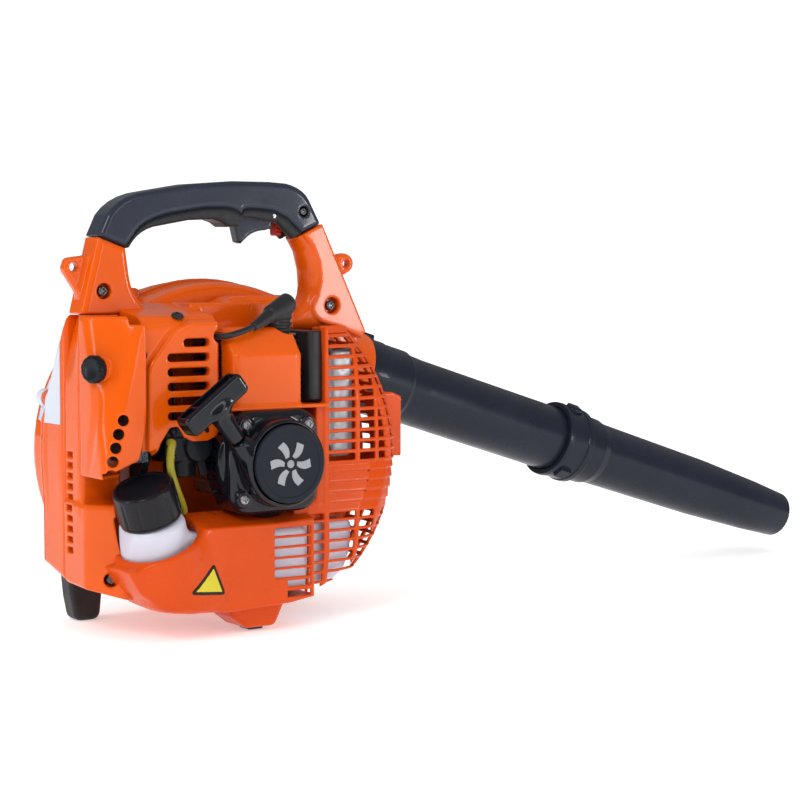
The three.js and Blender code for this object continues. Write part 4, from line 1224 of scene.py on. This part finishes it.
rope = swept("starter_rope_cord", [ROPE_START + PULL * along for along in (9, 20, 30, 40, 48)], 2.0, 16)
coat_with(rope, "soft_black")
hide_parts("starter_rope")
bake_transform(rope)

for name, finish in slot_of.items():
    node = bpy.data.objects.get(name)
    if node and not node.hide_render:
        coat_with(node, finish)


# ---- camera, light and floor

SIDE_LIGHT = 0.27                    # brightness of the sky near the horizon and overhead
SKY_LIGHT = 0.98
GLOSS_SHARE = 0.38                   # how much of the sky shiny surfaces mirror
BACKDROP = (1.15, 1.15, 1.15, 1)


def soft_light(name, place, aim, size, power):
    data = bpy.data.lights.new(name, "AREA")
    data.shape = "RECTANGLE"
    data.size, data.size_y = size
    data.energy = power
    light = placed(name, data)
    light.location = place
    light.rotation_euler = (Vector(aim) - Vector(place)).to_track_quat("-Z", "Y").to_euler()


def colour_mix(tree, factor, colour):
    """A mix node that gives this colour where the factor is 0. Its other colour is still to be set."""
    mix = tree.nodes.new("ShaderNodeMix")
    mix.data_type = "RGBA"
    tree.links.new(factor, mix.inputs["Factor"])
    tree.links.new(colour, mix.inputs["A"])
    return mix


def studio_sky():
    """White behind the machine, but lighting it mostly from above and mirrored dimly."""
    world = bpy.data.worlds.new("studio")
    world.use_nodes = True
    tree = world.node_tree
    background = tree.nodes["Background"]
    direction = tree.nodes.new("ShaderNodeTexCoord").outputs["Generated"]
    split = tree.nodes.new("ShaderNodeSeparateXYZ")
    tree.links.new(direction, split.inputs["Vector"])
    level = ramp(tree, split.outputs["Z"], SIDE_LIGHT, SKY_LIGHT, 0.05, 0.55)
    dim = tree.nodes.new("ShaderNodeVectorMath")
    dim.operation = "SCALE"
    dim.inputs["Scale"].default_value = GLOSS_SHARE
    tree.links.new(level, dim.inputs[0])
    ray = tree.nodes.new("ShaderNodeLightPath")
    mirrored = colour_mix(tree, ray.outputs["Is Glossy Ray"], level)
    tree.links.new(dim.outputs["Vector"], mirrored.inputs["B"])
    seen = colour_mix(tree, ray.outputs["Is Camera Ray"], mirrored.outputs["Result"])
    seen.inputs["B"].default_value = BACKDROP
    tree.links.new(seen.outputs["Result"], background.inputs["Color"])
    bpy.context.scene.world = world


def studio():
    middle = (0.05, 0.03, 0.18)
    soft_light("key", (-1.5, -1.2, 1.5), middle, (0.7, 0.5), 12)
    soft_light("front", (0.6, -2.0, 0.7), middle, (0.3, 1.2), 4.2)
    soft_light("left strip", (-1.7, 0.1, 0.6), middle, (0.25, 1.4), 7)
    soft_light("right strip", (1.16, -1.5, 0.30), (0.1, 0.04, 0.28), (0.26, 0.26), 5)
    studio_sky()
    floor_mesh = bpy.data.meshes.new("floor")
    floor_mesh.from_pydata([(-20, -20, 0), (20, -20, 0), (20, 20, 0), (-20, 20, 0)], [], [(0, 1, 2, 3)])
    material, _tree, shader = nodes_of("pale floor")
    set_sockets(shader, {"Base Color": (0.95, 0.95, 0.95, 1), "Roughness": 0.8, "Specular IOR Level": 0.1,
                         "Emission Color": (1, 1, 1, 1), "Emission Strength": 0.36})
    floor_mesh.materials.append(material)
    placed("floor", floor_mesh)
    bpy.context.scene.view_settings.view_transform = "Standard"


def camera():
    data = bpy.data.cameras.new("camera")
    data.lens = 94.5
    data.sensor_width = 36
    data.clip_start = 0.05
    data.clip_end = 60
    view = placed("camera", data)
    view.location = (-0.84386, -1.45858, 0.30167)
    view.rotation_euler = (math.radians(86), 0, math.radians(-34))
    bpy.context.scene.camera = view


studio()
camera()
